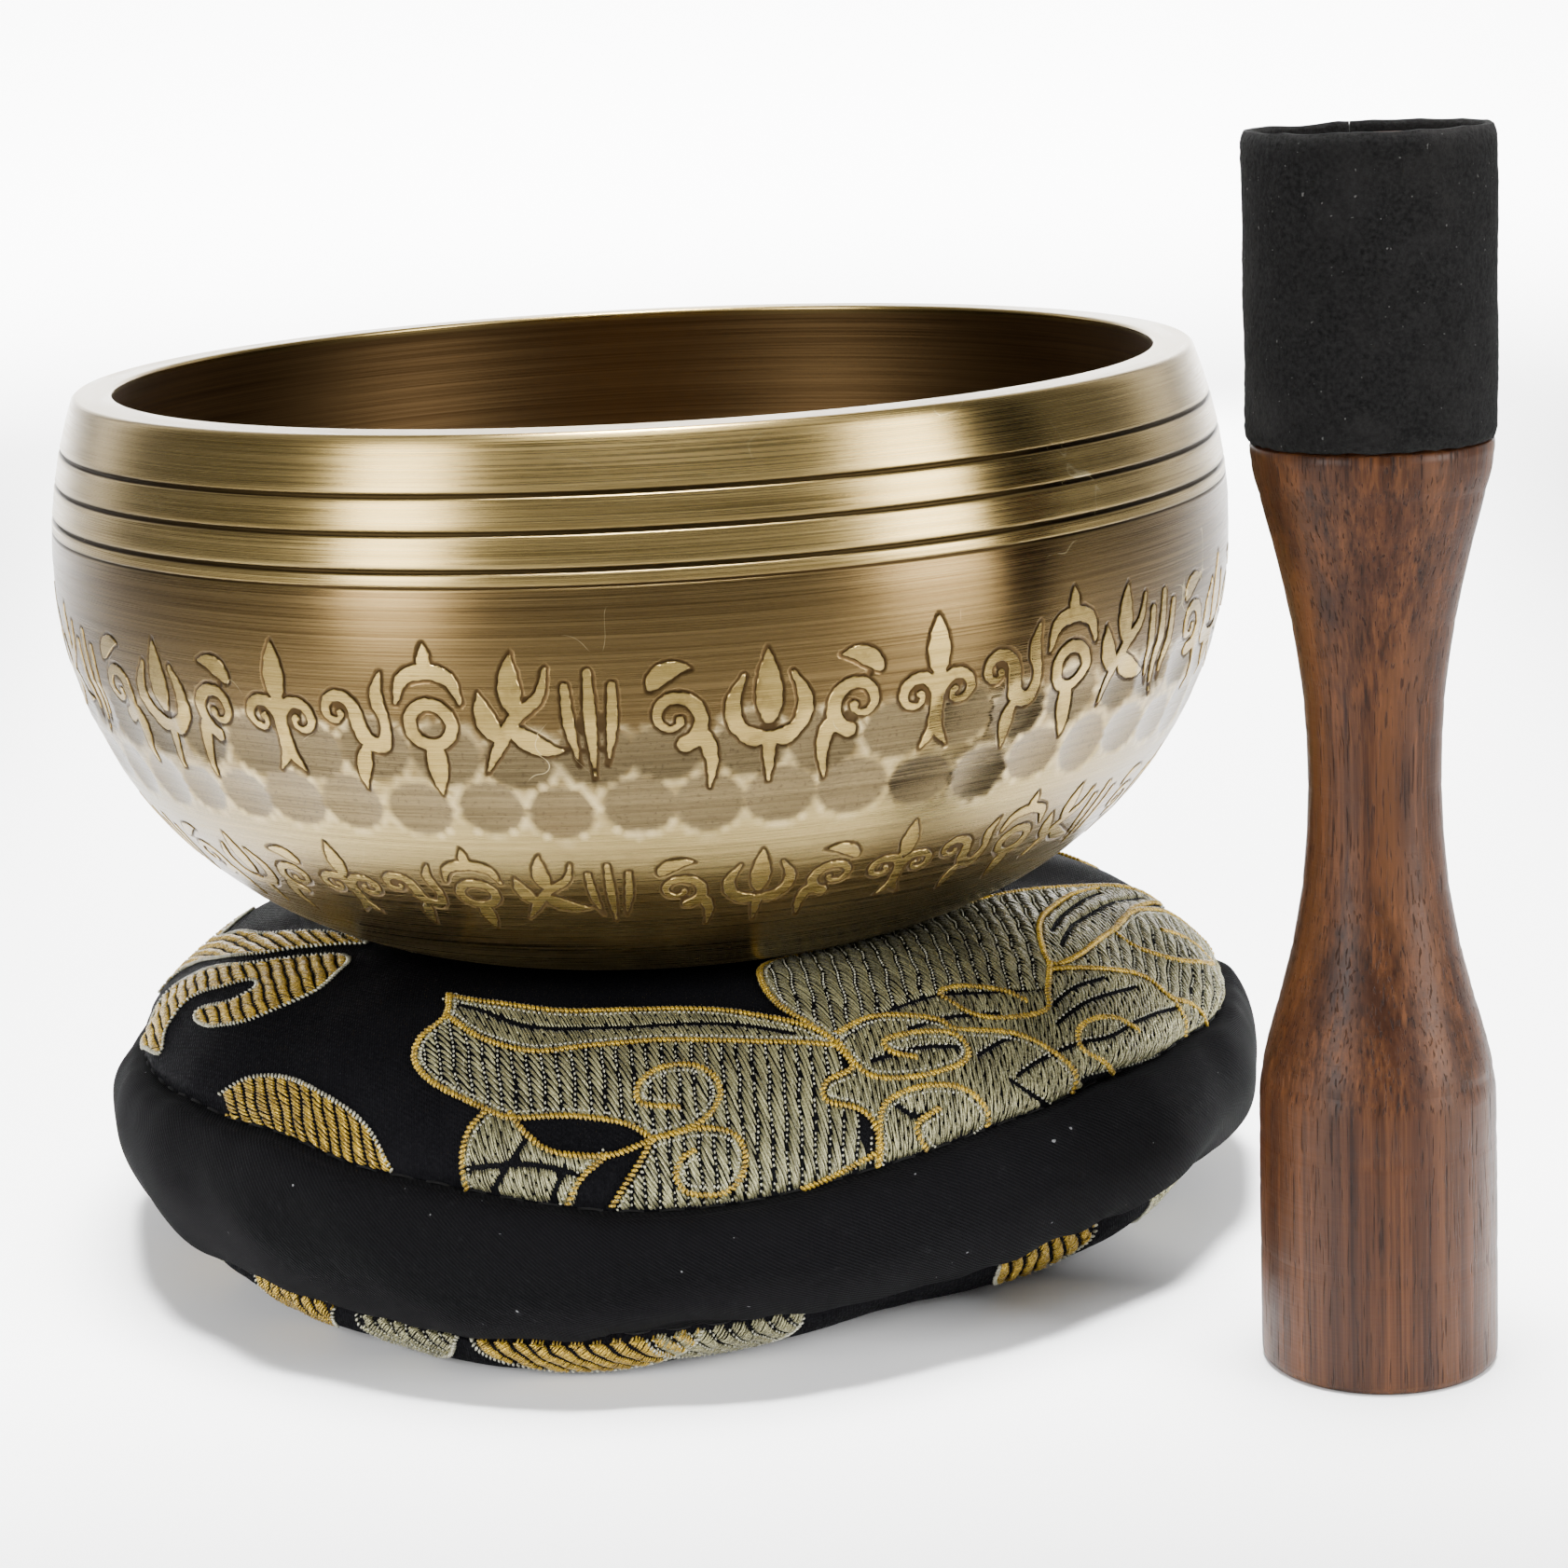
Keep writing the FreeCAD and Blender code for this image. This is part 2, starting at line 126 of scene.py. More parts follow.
class Nodes:
    """Short hands for building one node material."""

    def __init__(self, name):
        self.material = bpy.data.materials.new(name)
        self.material.use_nodes = True
        self.tree = self.material.node_tree
        self.shader = self.tree.nodes["Principled BSDF"]

    def set(self, **inputs):
        """Constant values on the shader's own sockets."""
        for key, value in inputs.items():
            self.shader.inputs[key.replace("_", " ")].default_value = value

    def add(self, kind, **settings):
        node = self.tree.nodes.new(kind)
        for key, value in settings.items():
            setattr(node, key, value)
        return node

    def link(self, source, target):
        self.tree.links.new(source, target)

    def feed(self, node, **inputs):
        for key, value in inputs.items():
            socket = node.inputs[key.replace("_", " ")]
            if isinstance(value, bpy.types.NodeSocket):
                self.link(value, socket)
            else:
                socket.default_value = value
        return node

    def position(self, scale=(1, 1, 1)):
        """The rest position in metres, scaled for use by a texture."""
        coordinates = self.add("ShaderNodeTexCoord")
        mapping = self.add("ShaderNodeMapping")
        mapping.inputs["Scale"].default_value = scale
        self.link(coordinates.outputs["Object"], mapping.inputs["Vector"])
        return mapping.outputs["Vector"]

    def noise(self, vector, scale=1.0, detail=2.0, roughness=0.5):
        node = self.add("ShaderNodeTexNoise")
        self.feed(node, Vector=vector, Scale=scale, Detail=detail, Roughness=roughness)
        return node.outputs["Fac"]

    def attribute(self, name):
        return self.add("ShaderNodeAttribute", attribute_name=name).outputs["Fac"]

    def math(self, operation, a, b=0.0):
        node = self.add("ShaderNodeMath", operation=operation)
        for socket, value in zip(node.inputs, (a, b)):
            if isinstance(value, bpy.types.NodeSocket):
                self.link(value, socket)
            else:
                socket.default_value = value
        return node.outputs[0]

    def plus(self, a, b):
        return self.math("ADD", a, b)

    def times(self, a, b):
        return self.math("MULTIPLY", a, b)

    def height(self):
        """Height above the table, in millimetres."""
        parts = self.add("ShaderNodeSeparateXYZ")
        self.link(self.position(IN_MM), parts.inputs[0])
        return parts.outputs["Z"]

    def bands(self, vector, scale, distortion, direction="X", detail=2.0):
        """Wavy parallel bands, as in woven cloth."""
        node = self.add("ShaderNodeTexWave", wave_type="BANDS", bands_direction=direction)
        self.feed(node, Vector=vector, Scale=scale, Distortion=distortion, Detail=detail)
        return node.outputs["Fac"]

    def between(self, value, low, high, to_low=0.0, to_high=1.0):
        """Maps low..high on to to_low..to_high, smoothly and clamped."""
        node = self.add("ShaderNodeMapRange", interpolation_type="SMOOTHSTEP")
        self.feed(node, Value=value)
        node.inputs["From Min"].default_value = low
        node.inputs["From Max"].default_value = high
        node.inputs["To Min"].default_value = to_low
        node.inputs["To Max"].default_value = to_high
        return node.outputs["Result"]

    def ramp(self, value, *stops):
        """Colours at positions 0..1 along a value."""
        node = self.add("ShaderNodeValToRGB")
        elements = node.color_ramp.elements
        while len(elements) < len(stops):
            elements.new(0.5)
        for element, (place, colour) in zip(elements, stops):
            element.position = place
            element.color = (*colour, 1)
        self.feed(node, Fac=value)
        return node.outputs["Color"]

    def mix(self, factor, a, b):
        """A colour between a and b; a colour mix has its factor, a and b at sockets 0, 6, 7."""
        node = self.add("ShaderNodeMix", data_type="RGBA")
        for socket, value in ((node.inputs[0], factor), (node.inputs[6], a), (node.inputs[7], b)):
            if isinstance(value, bpy.types.NodeSocket):
                self.link(value, socket)
            elif isinstance(value, (tuple, list)):
                socket.default_value = (*value, 1)
            else:
                socket.default_value = value
        return node.outputs[2]

    def bump(self, *layers):
        """Stacks (height, strength, distance in metres) layers into the shader's normal."""
        normal = None
        for height, strength, distance in layers:
            node = self.add("ShaderNodeBump")
            self.feed(node, Height=height, Strength=strength, Distance=distance)
            if normal is not None:
                self.link(normal, node.inputs["Normal"])
            normal = node.outputs["Normal"]
        self.link(normal, self.shader.inputs["Normal"])

    def out(self, **sockets):
        for key, value in sockets.items():
            self.link(value, self.shader.inputs[key.replace("_", " ")])
        return self.material


# ---------------------------------------------------------------- ornament strokes
# A stroke is an array of (x, y, half width) along its middle line, in millimetres. Motifs hang
# from y = 0: their bodies reach down to about -6 and their tails to about -10.

CURL_STEPS, LEAF_STEPS = 34, 15


def along(points, steps=9):
    """A smooth stroke through given points."""
    p = np.array(points, float)
    p = np.vstack([2 * p[0] - p[1], p, 2 * p[-1] - p[-2]])
    t = np.linspace(0, 1, steps, endpoint=False)[:, None]
    run = []
    for a, b, c, d in zip(p[:-3], p[1:-2], p[2:-1], p[3:]):
        run.append(0.5 * (2 * b + (c - a) * t + (2 * a - 5 * b + 4 * c - d) * t ** 2
                          + (3 * b - a - 3 * c + d) * t ** 3))
    return np.vstack(run + [p[-2:-1]])


def curl(x, y, reach, start, turns, width):
    """A volute that winds in to its eye, thinning as it goes."""
    t = np.linspace(0, 1, CURL_STEPS)
    angle = math.radians(start) + TURN * turns * t
    radius = reach * (1 - 0.8 * t)
    half = width * (1 - 0.62 * t)
    half[-4:] += np.array([0.08, 0.16, 0.2, 0.22]) * width
    return np.stack([x + radius * np.cos(angle), y + radius * np.sin(angle), half], 1)


def leaf(x, y, angle, length, width, bend=0.0):
    """A pointed leaf from its base at (x, y), turning by `bend` degrees on the way to its tip."""
    t = np.linspace(0, 1, LEAF_STEPS)
    heading = np.radians(angle + bend * t)[:-1]
    step = length / (LEAF_STEPS - 1)
    px = x + np.concatenate([[0], np.cumsum(np.cos(heading) * step)])
    py = y + np.concatenate([[0], np.cumsum(np.sin(heading) * step)])
    return np.stack([px, py, width * np.sin(math.pi * t ** 0.75) + 0.15], 1)


def placed(strokes, x=0.0, flip=False, size=1.0):
    """Copies of strokes, moved along, mirrored left to right or resized."""
    sign = -1 if flip else 1
    return [s * (sign * size, size, size) + (x, 0, 0) for s in strokes]


def bud():
    """A closed bud on a stem, held between two sepals."""
    side = [along([(0.4, -5.6, 0.55), (2.7, -4.7, 0.85), (3.3, -2.2, 0.8), (2.2, 0.4, 0.3)]),
            leaf(0.6, -6.3, 10, 3.4, 0.5, 60)]
    return side + placed(side, flip=True) + [
        leaf(0, -4.4, 90, 7.2, 1.2),
        along([(0, -5.8, 0.8), (0, -8, 0.6), (0, -10.2, 0.24)])]


def scroll():
    """A volute that springs from a tapering tail, with a leaf above it."""
    return [curl(-0.4, -3.2, 2.8, -70, 1.15, 0.86),
            along([(0.5, -5.8, 0.85), (2.2, -5.2, 0.9), (2.9, -7.4, 0.7), (2.7, -10.4, 0.24)]),
            leaf(-2.5, -0.4, 62, 4.6, 0.85, -80)]


def reeds():
    """Three slender blades."""
    side = [along([(2.1, 0.2, 0.5), (1.9, -3.5, 0.62), (1.3, -7.4, 0.2)])]
    middle = [along([(0, 1.4, 0.5), (0, -3.5, 0.68), (0, -8.8, 0.2)])]
    return side + middle + placed(side, flip=True)


def crest():
    """Two volutes back to back under a pointed leaf."""
    side = [curl(2.2, -3.4, 2.1, 180, -1.1, 0.78),
            along([(0.1, -3.2, 0.7), (0.1, -6.4, 0.8), (1.4, -8.6, 0.24)])]
    return side + placed(side, flip=True) + [leaf(0, -1.6, 90, 5.6, 1.1)]


def sprig():
    """A bowed stem with three leaves."""
    return [along([(-2.9, -7.9, 0.24), (-1.5, -5.4, 0.7), (0.2, -2.7, 0.72), (2.5, -0.7, 0.6),
                   (3.3, 1.9, 0.3)]),
            leaf(-1.3, -4.8, 125, 5.0, 0.95, -35),
            leaf(0.4, -2.4, 105, 5.9, 1.0, -30),
            leaf(-0.2, -3.4, -55, 5.6, 1.0, 60)]


def pendant():
    """A ring with a long drop, under an arch."""
    ring = ring_points(2.0, np.linspace(0, TURN, 28), 0.72) - (0, 3.3, 0)
    return [ring, leaf(0, -4.8, -90, 5.6, 0.95), leaf(0, 1.5, 90, 2.8, 0.6),
            along([(-3.1, -1.2, 0.3), (-2.2, 1.0, 0.75), (0, 1.7, 0.85), (2.2, 1.0, 0.75),
                   (3.1, -1.2, 0.3)])]


def wave():
    """An S that runs from a volute into a leaf."""
    return [curl(-1.6, -2.3, 1.9, 10, 0.95, 0.76),
            along([(0.3, -2.2, 0.8), (0.8, -4.8, 0.9), (2.5, -5.5, 0.85), (3.2, -3.2, 0.6),
                   (2.7, -0.7, 0.75), (3.3, 1.6, 0.24)]),
            leaf(0.8, -5.4, -112, 4.8, 0.72, 25)]


FAR_OUTSIDE = -3.0
ROW_OF_MOTIFS = [(scroll, -27.1, False), (bud, -18.9, False), (scroll, -10.9, True),
                 (crest, -2.6, False), (wave, 5.5, False), (pendant, 13.2, False),
                 (sprig, 20.9, False), (reeds, 27.9, False)]


def row_of_strokes(y, size, stretch):
    """One repeat of the frieze, at a height on the bowl's wall.

    stretch is the sheet's length over the wall's real length round the bowl at that height.
    """
    strokes = []
    for motif, x, flip in ROW_OF_MOTIFS:
        strokes += placed(placed(motif(), x, flip=flip), size=size)
    return [s * (stretch, 1, 1) + (0, y, 0) for s in strokes]


def stroke_field(strokes, xs, ys):
    """How far each point of a grid is inside the strokes' common outline (negative outside)."""
    field = np.full((len(ys), len(xs)), FAR_OUTSIDE)
    for s in strokes:
        near = s[:, 2].max() - FAR_OUTSIDE / 2
        ix = np.flatnonzero((xs > s[:, 0].min() - near) & (xs < s[:, 0].max() + near))
        iy = np.flatnonzero((ys > s[:, 1].min() - near) & (ys < s[:, 1].max() + near))
        window = np.ix_(iy, ix)
        x, y = np.meshgrid(xs[ix], ys[iy])
        best = field[window]
        for a, b in zip(s[:-1], s[1:]):
            t, away = nearest_on(a[:2], b[:2], x, y)
            best = np.maximum(best, a[2] + t * (b[2] - a[2]) - away)
        field[window] = best
    return field


def outlines(field, xs, ys, level):
    """Closed loops of points where a gridded field crosses a level."""
    above = field > level
    crossing = {}
    links = {}

    def cross(j0, i0, j1, i1):
        key = (j0, i0, j1, i1)
        if key not in crossing:
            a, b = field[j0, i0], field[j1, i1]
            t = (level - a) / (b - a)
            crossing[key] = (xs[i0] + t * (xs[i1] - xs[i0]), ys[j0] + t * (ys[j1] - ys[j0]))
        return key

    corner_sum = (above[:-1, :-1].astype(int) + above[1:, :-1] + above[:-1, 1:] + above[1:, 1:])
    for j, i in zip(*np.nonzero((corner_sum > 0) & (corner_sum < 4))):
        sides = [((j, i), (j, i + 1)), ((j, i + 1), (j + 1, i + 1)),
                 ((j + 1, i), (j + 1, i + 1)), ((j, i), (j + 1, i))]
        hit = [cross(*p, *q) for p, q in sides if above[p] != above[q]]
        if len(hit) == 4:
            middle = field[j:j + 2, i:i + 2].mean() > level
            if middle == above[j, i]:
                pairs = [(hit[0], hit[1]), (hit[2], hit[3])]
            else:
                pairs = [(hit[0], hit[3]), (hit[1], hit[2])]
        else:
            pairs = [tuple(hit)]
        for a, b in pairs:
            links.setdefault(a, []).append(b)
            links.setdefault(b, []).append(a)
    loops = []
    waiting = dict.fromkeys(links)
    while waiting:
        start = next(iter(waiting))
        loop = [start]
        del waiting[start]
        here = start
        while True:
            ahead = [k for k in links[here] if k in waiting]
            if not ahead:
                break
            here = ahead[0]
            del waiting[here]
            loop.append(here)
        if len(loop) > 5:
            loops.append(np.array([crossing[k] for k in loop]))
    return loops


def thinned(loop, tolerance):
    """A closed loop with only the points that its shape needs."""
    far = int(np.argmax(np.hypot(*(loop - loop[0]).T)))
    points = np.vstack([loop, loop[:1]])
    keep = {0, far, len(loop)}
    stack = [(0, far), (far, len(loop))]
    while stack:
        a, b = stack.pop()
        if b - a < 2:
            continue
        chord = points[b] - points[a]
        length = np.hypot(*chord) + TINY
        inner = points[a + 1:b] - points[a]
        away = np.abs(inner[:, 0] * chord[1] - inner[:, 1] * chord[0]) / length
        k = int(np.argmax(away))
        if away[k] > tolerance:
            middle = a + 1 + k
            keep.add(middle)
            stack += [(a, middle), (middle, b)]
    return points[sorted(keep)[:-1]]


# ---------------------------------------------------------------- the bowl
# The wall is described by s, the length along its outline from the corner of the foot, and the
# angle round the axis. One sixth of the ornamented wall is meshed flat, with the outlines of
# the ornament in it, and repeated six times round.

BOWL_LOW, BOWL_HIGH = cad_box("bowl")
SEAT = BOWL_LOW[2]
BELLY_RADIUS = (BOWL_HIGH[0] - BOWL_LOW[0]) / 2
LIP_TOP = BOWL_HIGH[2]
BELLY_RISE = 39.0
FOOT_RADIUS = BELLY_RADIUS - BELLY_RISE
LIP_ARC = 50.4
LIP_INNER_ARC = 62.0
LIP_FACE = 3.9
WALL_AT_BELLY = 3.3
FLOOR_THICKNESS = 3.0
LIP_ROWS = 10
LOW_ARC_LENGTH = BELLY_RISE * math.pi / 2
LIP_RISE = LIP_TOP - SEAT - BELLY_RISE
WALL_LENGTH = LOW_ARC_LENGTH + LIP_ARC * math.asin(LIP_RISE / LIP_ARC)

REPEATS = 6
COLUMNS = 42
SECTOR = TURN / REPEATS
SECTOR_WIDTH = SECTOR * BELLY_RADIUS
ORNAMENT_LOW, ORNAMENT_HIGH = 25.0, 64.0
UPPER_ROW_S, LOWER_ROW_S = 57.3, 37.1
LOWER_ROW_SIZE = 0.84
STROKE_TRIM = 0.19
OUTLINE_DROP, OUTLINE_END = 0.13, 0.46
CHANNEL_DEPTH, GROUND_DEPTH, GROUND_FADE = 0.15, 0.07, 1.5
HAND_WOBBLE = 0.045
CELL, THINNING = 0.2, 0.014
SPACING, FINE_SPACING = 1.2, 0.72
SHEET_ROWS = 40
SCORE_RISE, TOP_GROOVE_RISE, GROOVE_PITCH = 44.1, 52.0, 3.25

DIMPLES_ROUND = 54
DIMPLE_ROWS = ((51.0, 0.0), (45.2, 0.5))
DIMPLE_HALF_WIDTH, DIMPLE_HALF_HEIGHT = 3.68, 3.2
DIMPLE_DEPTH = 0.34


def height_to_s(rise):
    """Length along the wall at a height above the foot."""
    if rise <= BELLY_RISE:
        return BELLY_RISE * math.acos(1 - rise / BELLY_RISE)
    return LOW_ARC_LENGTH + LIP_ARC * math.asin((rise - BELLY_RISE) / LIP_ARC)


def wall_point(s):
    """Radius, height and outward normal (radial, up) of the plain outer wall."""
    s = np.asarray(s, float)
    low = np.clip(s / BELLY_RISE, 0, math.pi / 2)
    high = np.clip((s - LOW_ARC_LENGTH) / LIP_ARC, 0, None)
    below = s < LOW_ARC_LENGTH
    radius = np.where(below, FOOT_RADIUS + BELLY_RISE * np.sin(low),
                      BELLY_RADIUS - LIP_ARC + LIP_ARC * np.cos(high))
    height = np.where(below, SEAT + BELLY_RISE * (1 - np.cos(low)),
                      SEAT + BELLY_RISE + LIP_ARC * np.sin(high))
    out = np.where(below, np.sin(low), np.cos(high))
    up = np.where(below, -np.cos(low), np.sin(high))
    return radius, height, out, up


def hammer_marks():
    """Each mark: angle, s, half width, half height, depth."""
    draw = random.Random(11)
    marks = []
    for s, shift in DIMPLE_ROWS:
        for k in range(DIMPLES_ROUND):
            angle = (k + shift + draw.uniform(-0.07, 0.07)) * TURN / DIMPLES_ROUND
            marks.append((angle, s + draw.uniform(-0.45, 0.45),
                          DIMPLE_HALF_WIDTH * draw.uniform(0.9, 1.08),
                          DIMPLE_HALF_HEIGHT * draw.uniform(0.88, 1.08),
                          DIMPLE_DEPTH * draw.uniform(0.75, 1.2)))
    return marks


MARKS = hammer_marks()


def dimple_depth(angle, s):
    """Depth of the hammer marks, how far inside one each point is, and the raised rims."""
    depth = np.zeros_like(angle)
    inside = np.zeros_like(angle)
    rim = np.zeros_like(angle)
    for mark_angle, mark_s, half_width, half_height, mark_depth in MARKS:
        near = np.flatnonzero(np.abs(s - mark_s) < half_height * 1.5)
        if not len(near):
            continue
        turn = (angle[near] - mark_angle + math.pi) % TURN - math.pi
        across = turn * BELLY_RADIUS / half_width
        up = (s[near] - mark_s) / half_height
        reach = np.hypot(across, up)
        core = np.clip(1 - reach ** 2, 0, None)
        depth[near] = np.maximum(depth[near], mark_depth * core)
        inside[near] = np.maximum(inside[near], core)
        rim[near] = np.maximum(rim[near], np.exp(-((reach - 1.01) / 0.065) ** 2))
    return depth, inside, rim * np.clip(1 - inside * 6, 0, 1)


def on_wall(angle, s, depth):
    """Points of the wall, sunk by a depth along its normal."""
    radius, height, out, up = wall_point(s)
    return ring_points(radius - depth * out, angle, height - depth * up)


def wall_normal(angle, s):
    """Normals of the hammered wall, worked out from points close by."""
    step = 0.05
    turn = step / BELLY_RADIUS
    sides = []
    for da, ds in ((turn, 0), (-turn, 0), (0, step), (0, -step)):
        sides.append(on_wall(angle + da, s + ds, dimple_depth(angle + da, s + ds)[0]))
    normal = np.cross(sides[0] - sides[1], sides[2] - sides[3])
    return unit(normal)


def loop_edges(first, count):
    """Edges that join numbered points into a closed loop."""
    return [(first + k, first + (k + 1) % count) for k in range(count)]


def ornament_field(xs, ys):
    """Both rows' strokes as a field, cut a little unevenly, with none on the sector's sides."""
    low_radius = wall_point(LOWER_ROW_S - 4)[0]
    strokes = (row_of_strokes(UPPER_ROW_S, 1.0, 1.0)
               + row_of_strokes(LOWER_ROW_S, LOWER_ROW_SIZE, BELLY_RADIUS / low_radius))
    field = stroke_field(strokes, xs, ys)
    wobble = HAND_WOBBLE * (np.sin(xs * 3.1)[None, :] * np.sin(ys * 3.7)[:, None]
                            + np.sin(xs * 7.3 + 1)[None, :] * np.sin(ys * 6.1 + 2)[:, None])
    field = np.where(field > -2, field + wobble - STROKE_TRIM, field)
    field[:, [0, 1, -2, -1]] = FAR_OUTSIDE
    return field


def ground_spot(x, y):
    """A spot of the etched ground, which fades out towards the sheet's lower and upper edge."""
    fade = min(1, (y - ORNAMENT_LOW) / GROUND_FADE, (ORNAMENT_HIGH - y) / GROUND_FADE)
    return (x, y, GROUND_DEPTH * max(0, fade), 0.0, 0.0)


def spots_between(field, xs):
    """Spots that fill the sheet between the outlines, closer together on the hammer marks."""
    hammered_low = min(s for s, _ in DIMPLE_ROWS) - DIMPLE_HALF_HEIGHT - 0.5
    hammered_high = max(s for s, _ in DIMPLE_ROWS) + DIMPLE_HALF_HEIGHT + 0.5
    spots = []
    y, row = ORNAMENT_LOW + 0.9, 0
    while y < ORNAMENT_HIGH - 0.5:
        spacing = FINE_SPACING if hammered_low < y < hammered_high else SPACING
        count = int(SECTOR_WIDTH / spacing)
        j = int(round((y - ORNAMENT_LOW) / CELL))
        for k in range(1, count):
            x = -SECTOR_WIDTH / 2 + (k + (row % 2) * 0.5 - 0.25) * SECTOR_WIDTH / count
            i = int(round((x + SECTOR_WIDTH / 2) / (xs[1] - xs[0])))
            away = field[min(j, len(field) - 1), min(i, len(xs) - 1)]
            if away < -OUTLINE_END - 0.3:
                spots.append(ground_spot(x, y))
            elif away > 0.45:
                spots.append((x, y, 0.0, 1.0, 0.0))
        y += spacing * 0.87
        row += 1
    return spots


def ornament_sheet():
    """One sector of the ornamented wall as a flat triangle mesh.

    Returns points (x, s), faces, each point's sink below the turned wall, whether it is on the
    ornament, how much of it is outline, and for each face whether it is a step in the metal.
    """
    half = SECTOR_WIDTH / 2
    xs = np.linspace(-half, half, int(SECTOR_WIDTH / CELL) + 1)
    ys = np.linspace(ORNAMENT_LOW, ORNAMENT_HIGH, int((ORNAMENT_HIGH - ORNAMENT_LOW) / CELL) + 1)
    field = ornament_field(xs, ys)

    # a spot is x, s, sink, ornament, outline
    spots, edges = [], []
    levels = ((0.0, 0.0, 1.0, 0.0), (-OUTLINE_DROP, CHANNEL_DEPTH, 0.0, 1.0),
              (-OUTLINE_END, GROUND_DEPTH, 0.0, 0.0))
    for level, *values in levels:
        for loop in outlines(field, xs, ys, level):
            loop = thinned(loop, THINNING)
            if len(loop) >= 4:
                edges += loop_edges(len(spots), len(loop))
                spots += [(x, y, *values) for x, y in loop.tolist()]

    border_x = np.linspace(-half, half, COLUMNS + 1)
    border_y = np.linspace(ORNAMENT_LOW, ORNAMENT_HIGH, SHEET_ROWS)
    border = ([(x, ORNAMENT_LOW) for x in border_x] + [(border_x[-1], y) for y in border_y[1:]]
              + [(x, ORNAMENT_HIGH) for x in border_x[-2::-1]]
              + [(border_x[0], y) for y in border_y[-2:0:-1]])
    edges += loop_edges(len(spots), len(border))
    spots += [ground_spot(x, y) for x, y in border]
    spots += spots_between(field, xs)

    coordinates, _, faces, origins, _, _ = delaunay_2d_cdt(
        [Vector(spot[:2]) for spot in spots], edges, [], 0, 1e-5)
    flat = np.array([tuple(c) for c in coordinates])
    # the triangulation rounds a little, so the border's points go back to their exact places
    for axis, places in ((0, border_x), (1, border_y)):
        for place in (places[0], places[-1]):
            on_border = np.abs(flat[:, axis] - place) < 1e-3
            flat[on_border, axis] = place
            other = border_y if axis == 0 else border_x
            nearest = np.abs(flat[on_border, 1 - axis][:, None] - other).argmin(axis=1)
            flat[on_border, 1 - axis] = other[nearest]
    source = [origin[0] if origin else -1 for origin in origins]
    sinks, bright, dark = np.array([spots[k][2:] for k in source]).T
    faces = np.array([list(f) for f in faces])
    steps = np.ptp(bright[faces], axis=1) + np.ptp(dark[faces], axis=1) > 0.5
    return flat, faces, sinks, bright, dark, steps


def ring_of_rows(rows):
    """Points and quads of a stack of rings; rows are (radius, height) pairs, bottom up."""
    count = REPEATS * COLUMNS
    angles = np.round((np.linspace(0, TURN, count, endpoint=False) - SECTOR / 2) % TURN, 9)
    points = np.concatenate([ring_points(r, angles, z) for r, z in rows])
    faces = []
    for k in range(len(rows) - 1):
        for i in range(count):
            j = (i + 1) % count
            faces.append([k * count + i, k * count + j, (k + 1) * count + j,
                          (k + 1) * count + i])
    return points, faces


def lip_band_rows():
    """The plain wall above the ornament, with its scored line and turned grooves, as rows.

    Each row is (s, sink below the wall, darkness).
    """
    groove = ((-0.75, -0.02, 0.0), (-0.38, -0.05, 0.0), (-0.22, 0.02, 0.35), (-0.17, 0.32, 1.0),
              (-0.06, 0.44, 1.0), (0.08, 0.44, 1.0), (0.18, 0.34, 1.0), (0.24, 0.03, 0.5),
              (0.40, -0.03, 0.1), (0.8, 0.0, 0.0))
    score = ((-0.3, 0.0, 0.0), (-0.14, 0.0, 0.3), (-0.05, 0.17, 1.0), (0.06, 0.17, 1.0),
             (0.15, 0.0, 0.3), (0.3, 0.0, 0.0))
    features = [(height_to_s(SCORE_RISE), score)]
    features += [(height_to_s(TOP_GROOVE_RISE - GROOVE_PITCH * k), groove) for k in (2, 1, 0)]
    rows = [(ORNAMENT_HIGH, 0.0, 0.0)]
    for middle, shape in features:
        while middle + shape[0][0] - rows[-1][0] > 1.3:
            rows.append((rows[-1][0] + 1.0, 0.0, 0.0))
        rows += [(middle + ds, sink, dark) for ds, sink, dark in shape]
    end = WALL_LENGTH - 0.35
    while end - rows[-1][0] > 1.2:
        rows.append((rows[-1][0] + 0.9, 0.0, 0.0))
    return rows + [(end, 0.0, 0.0)]


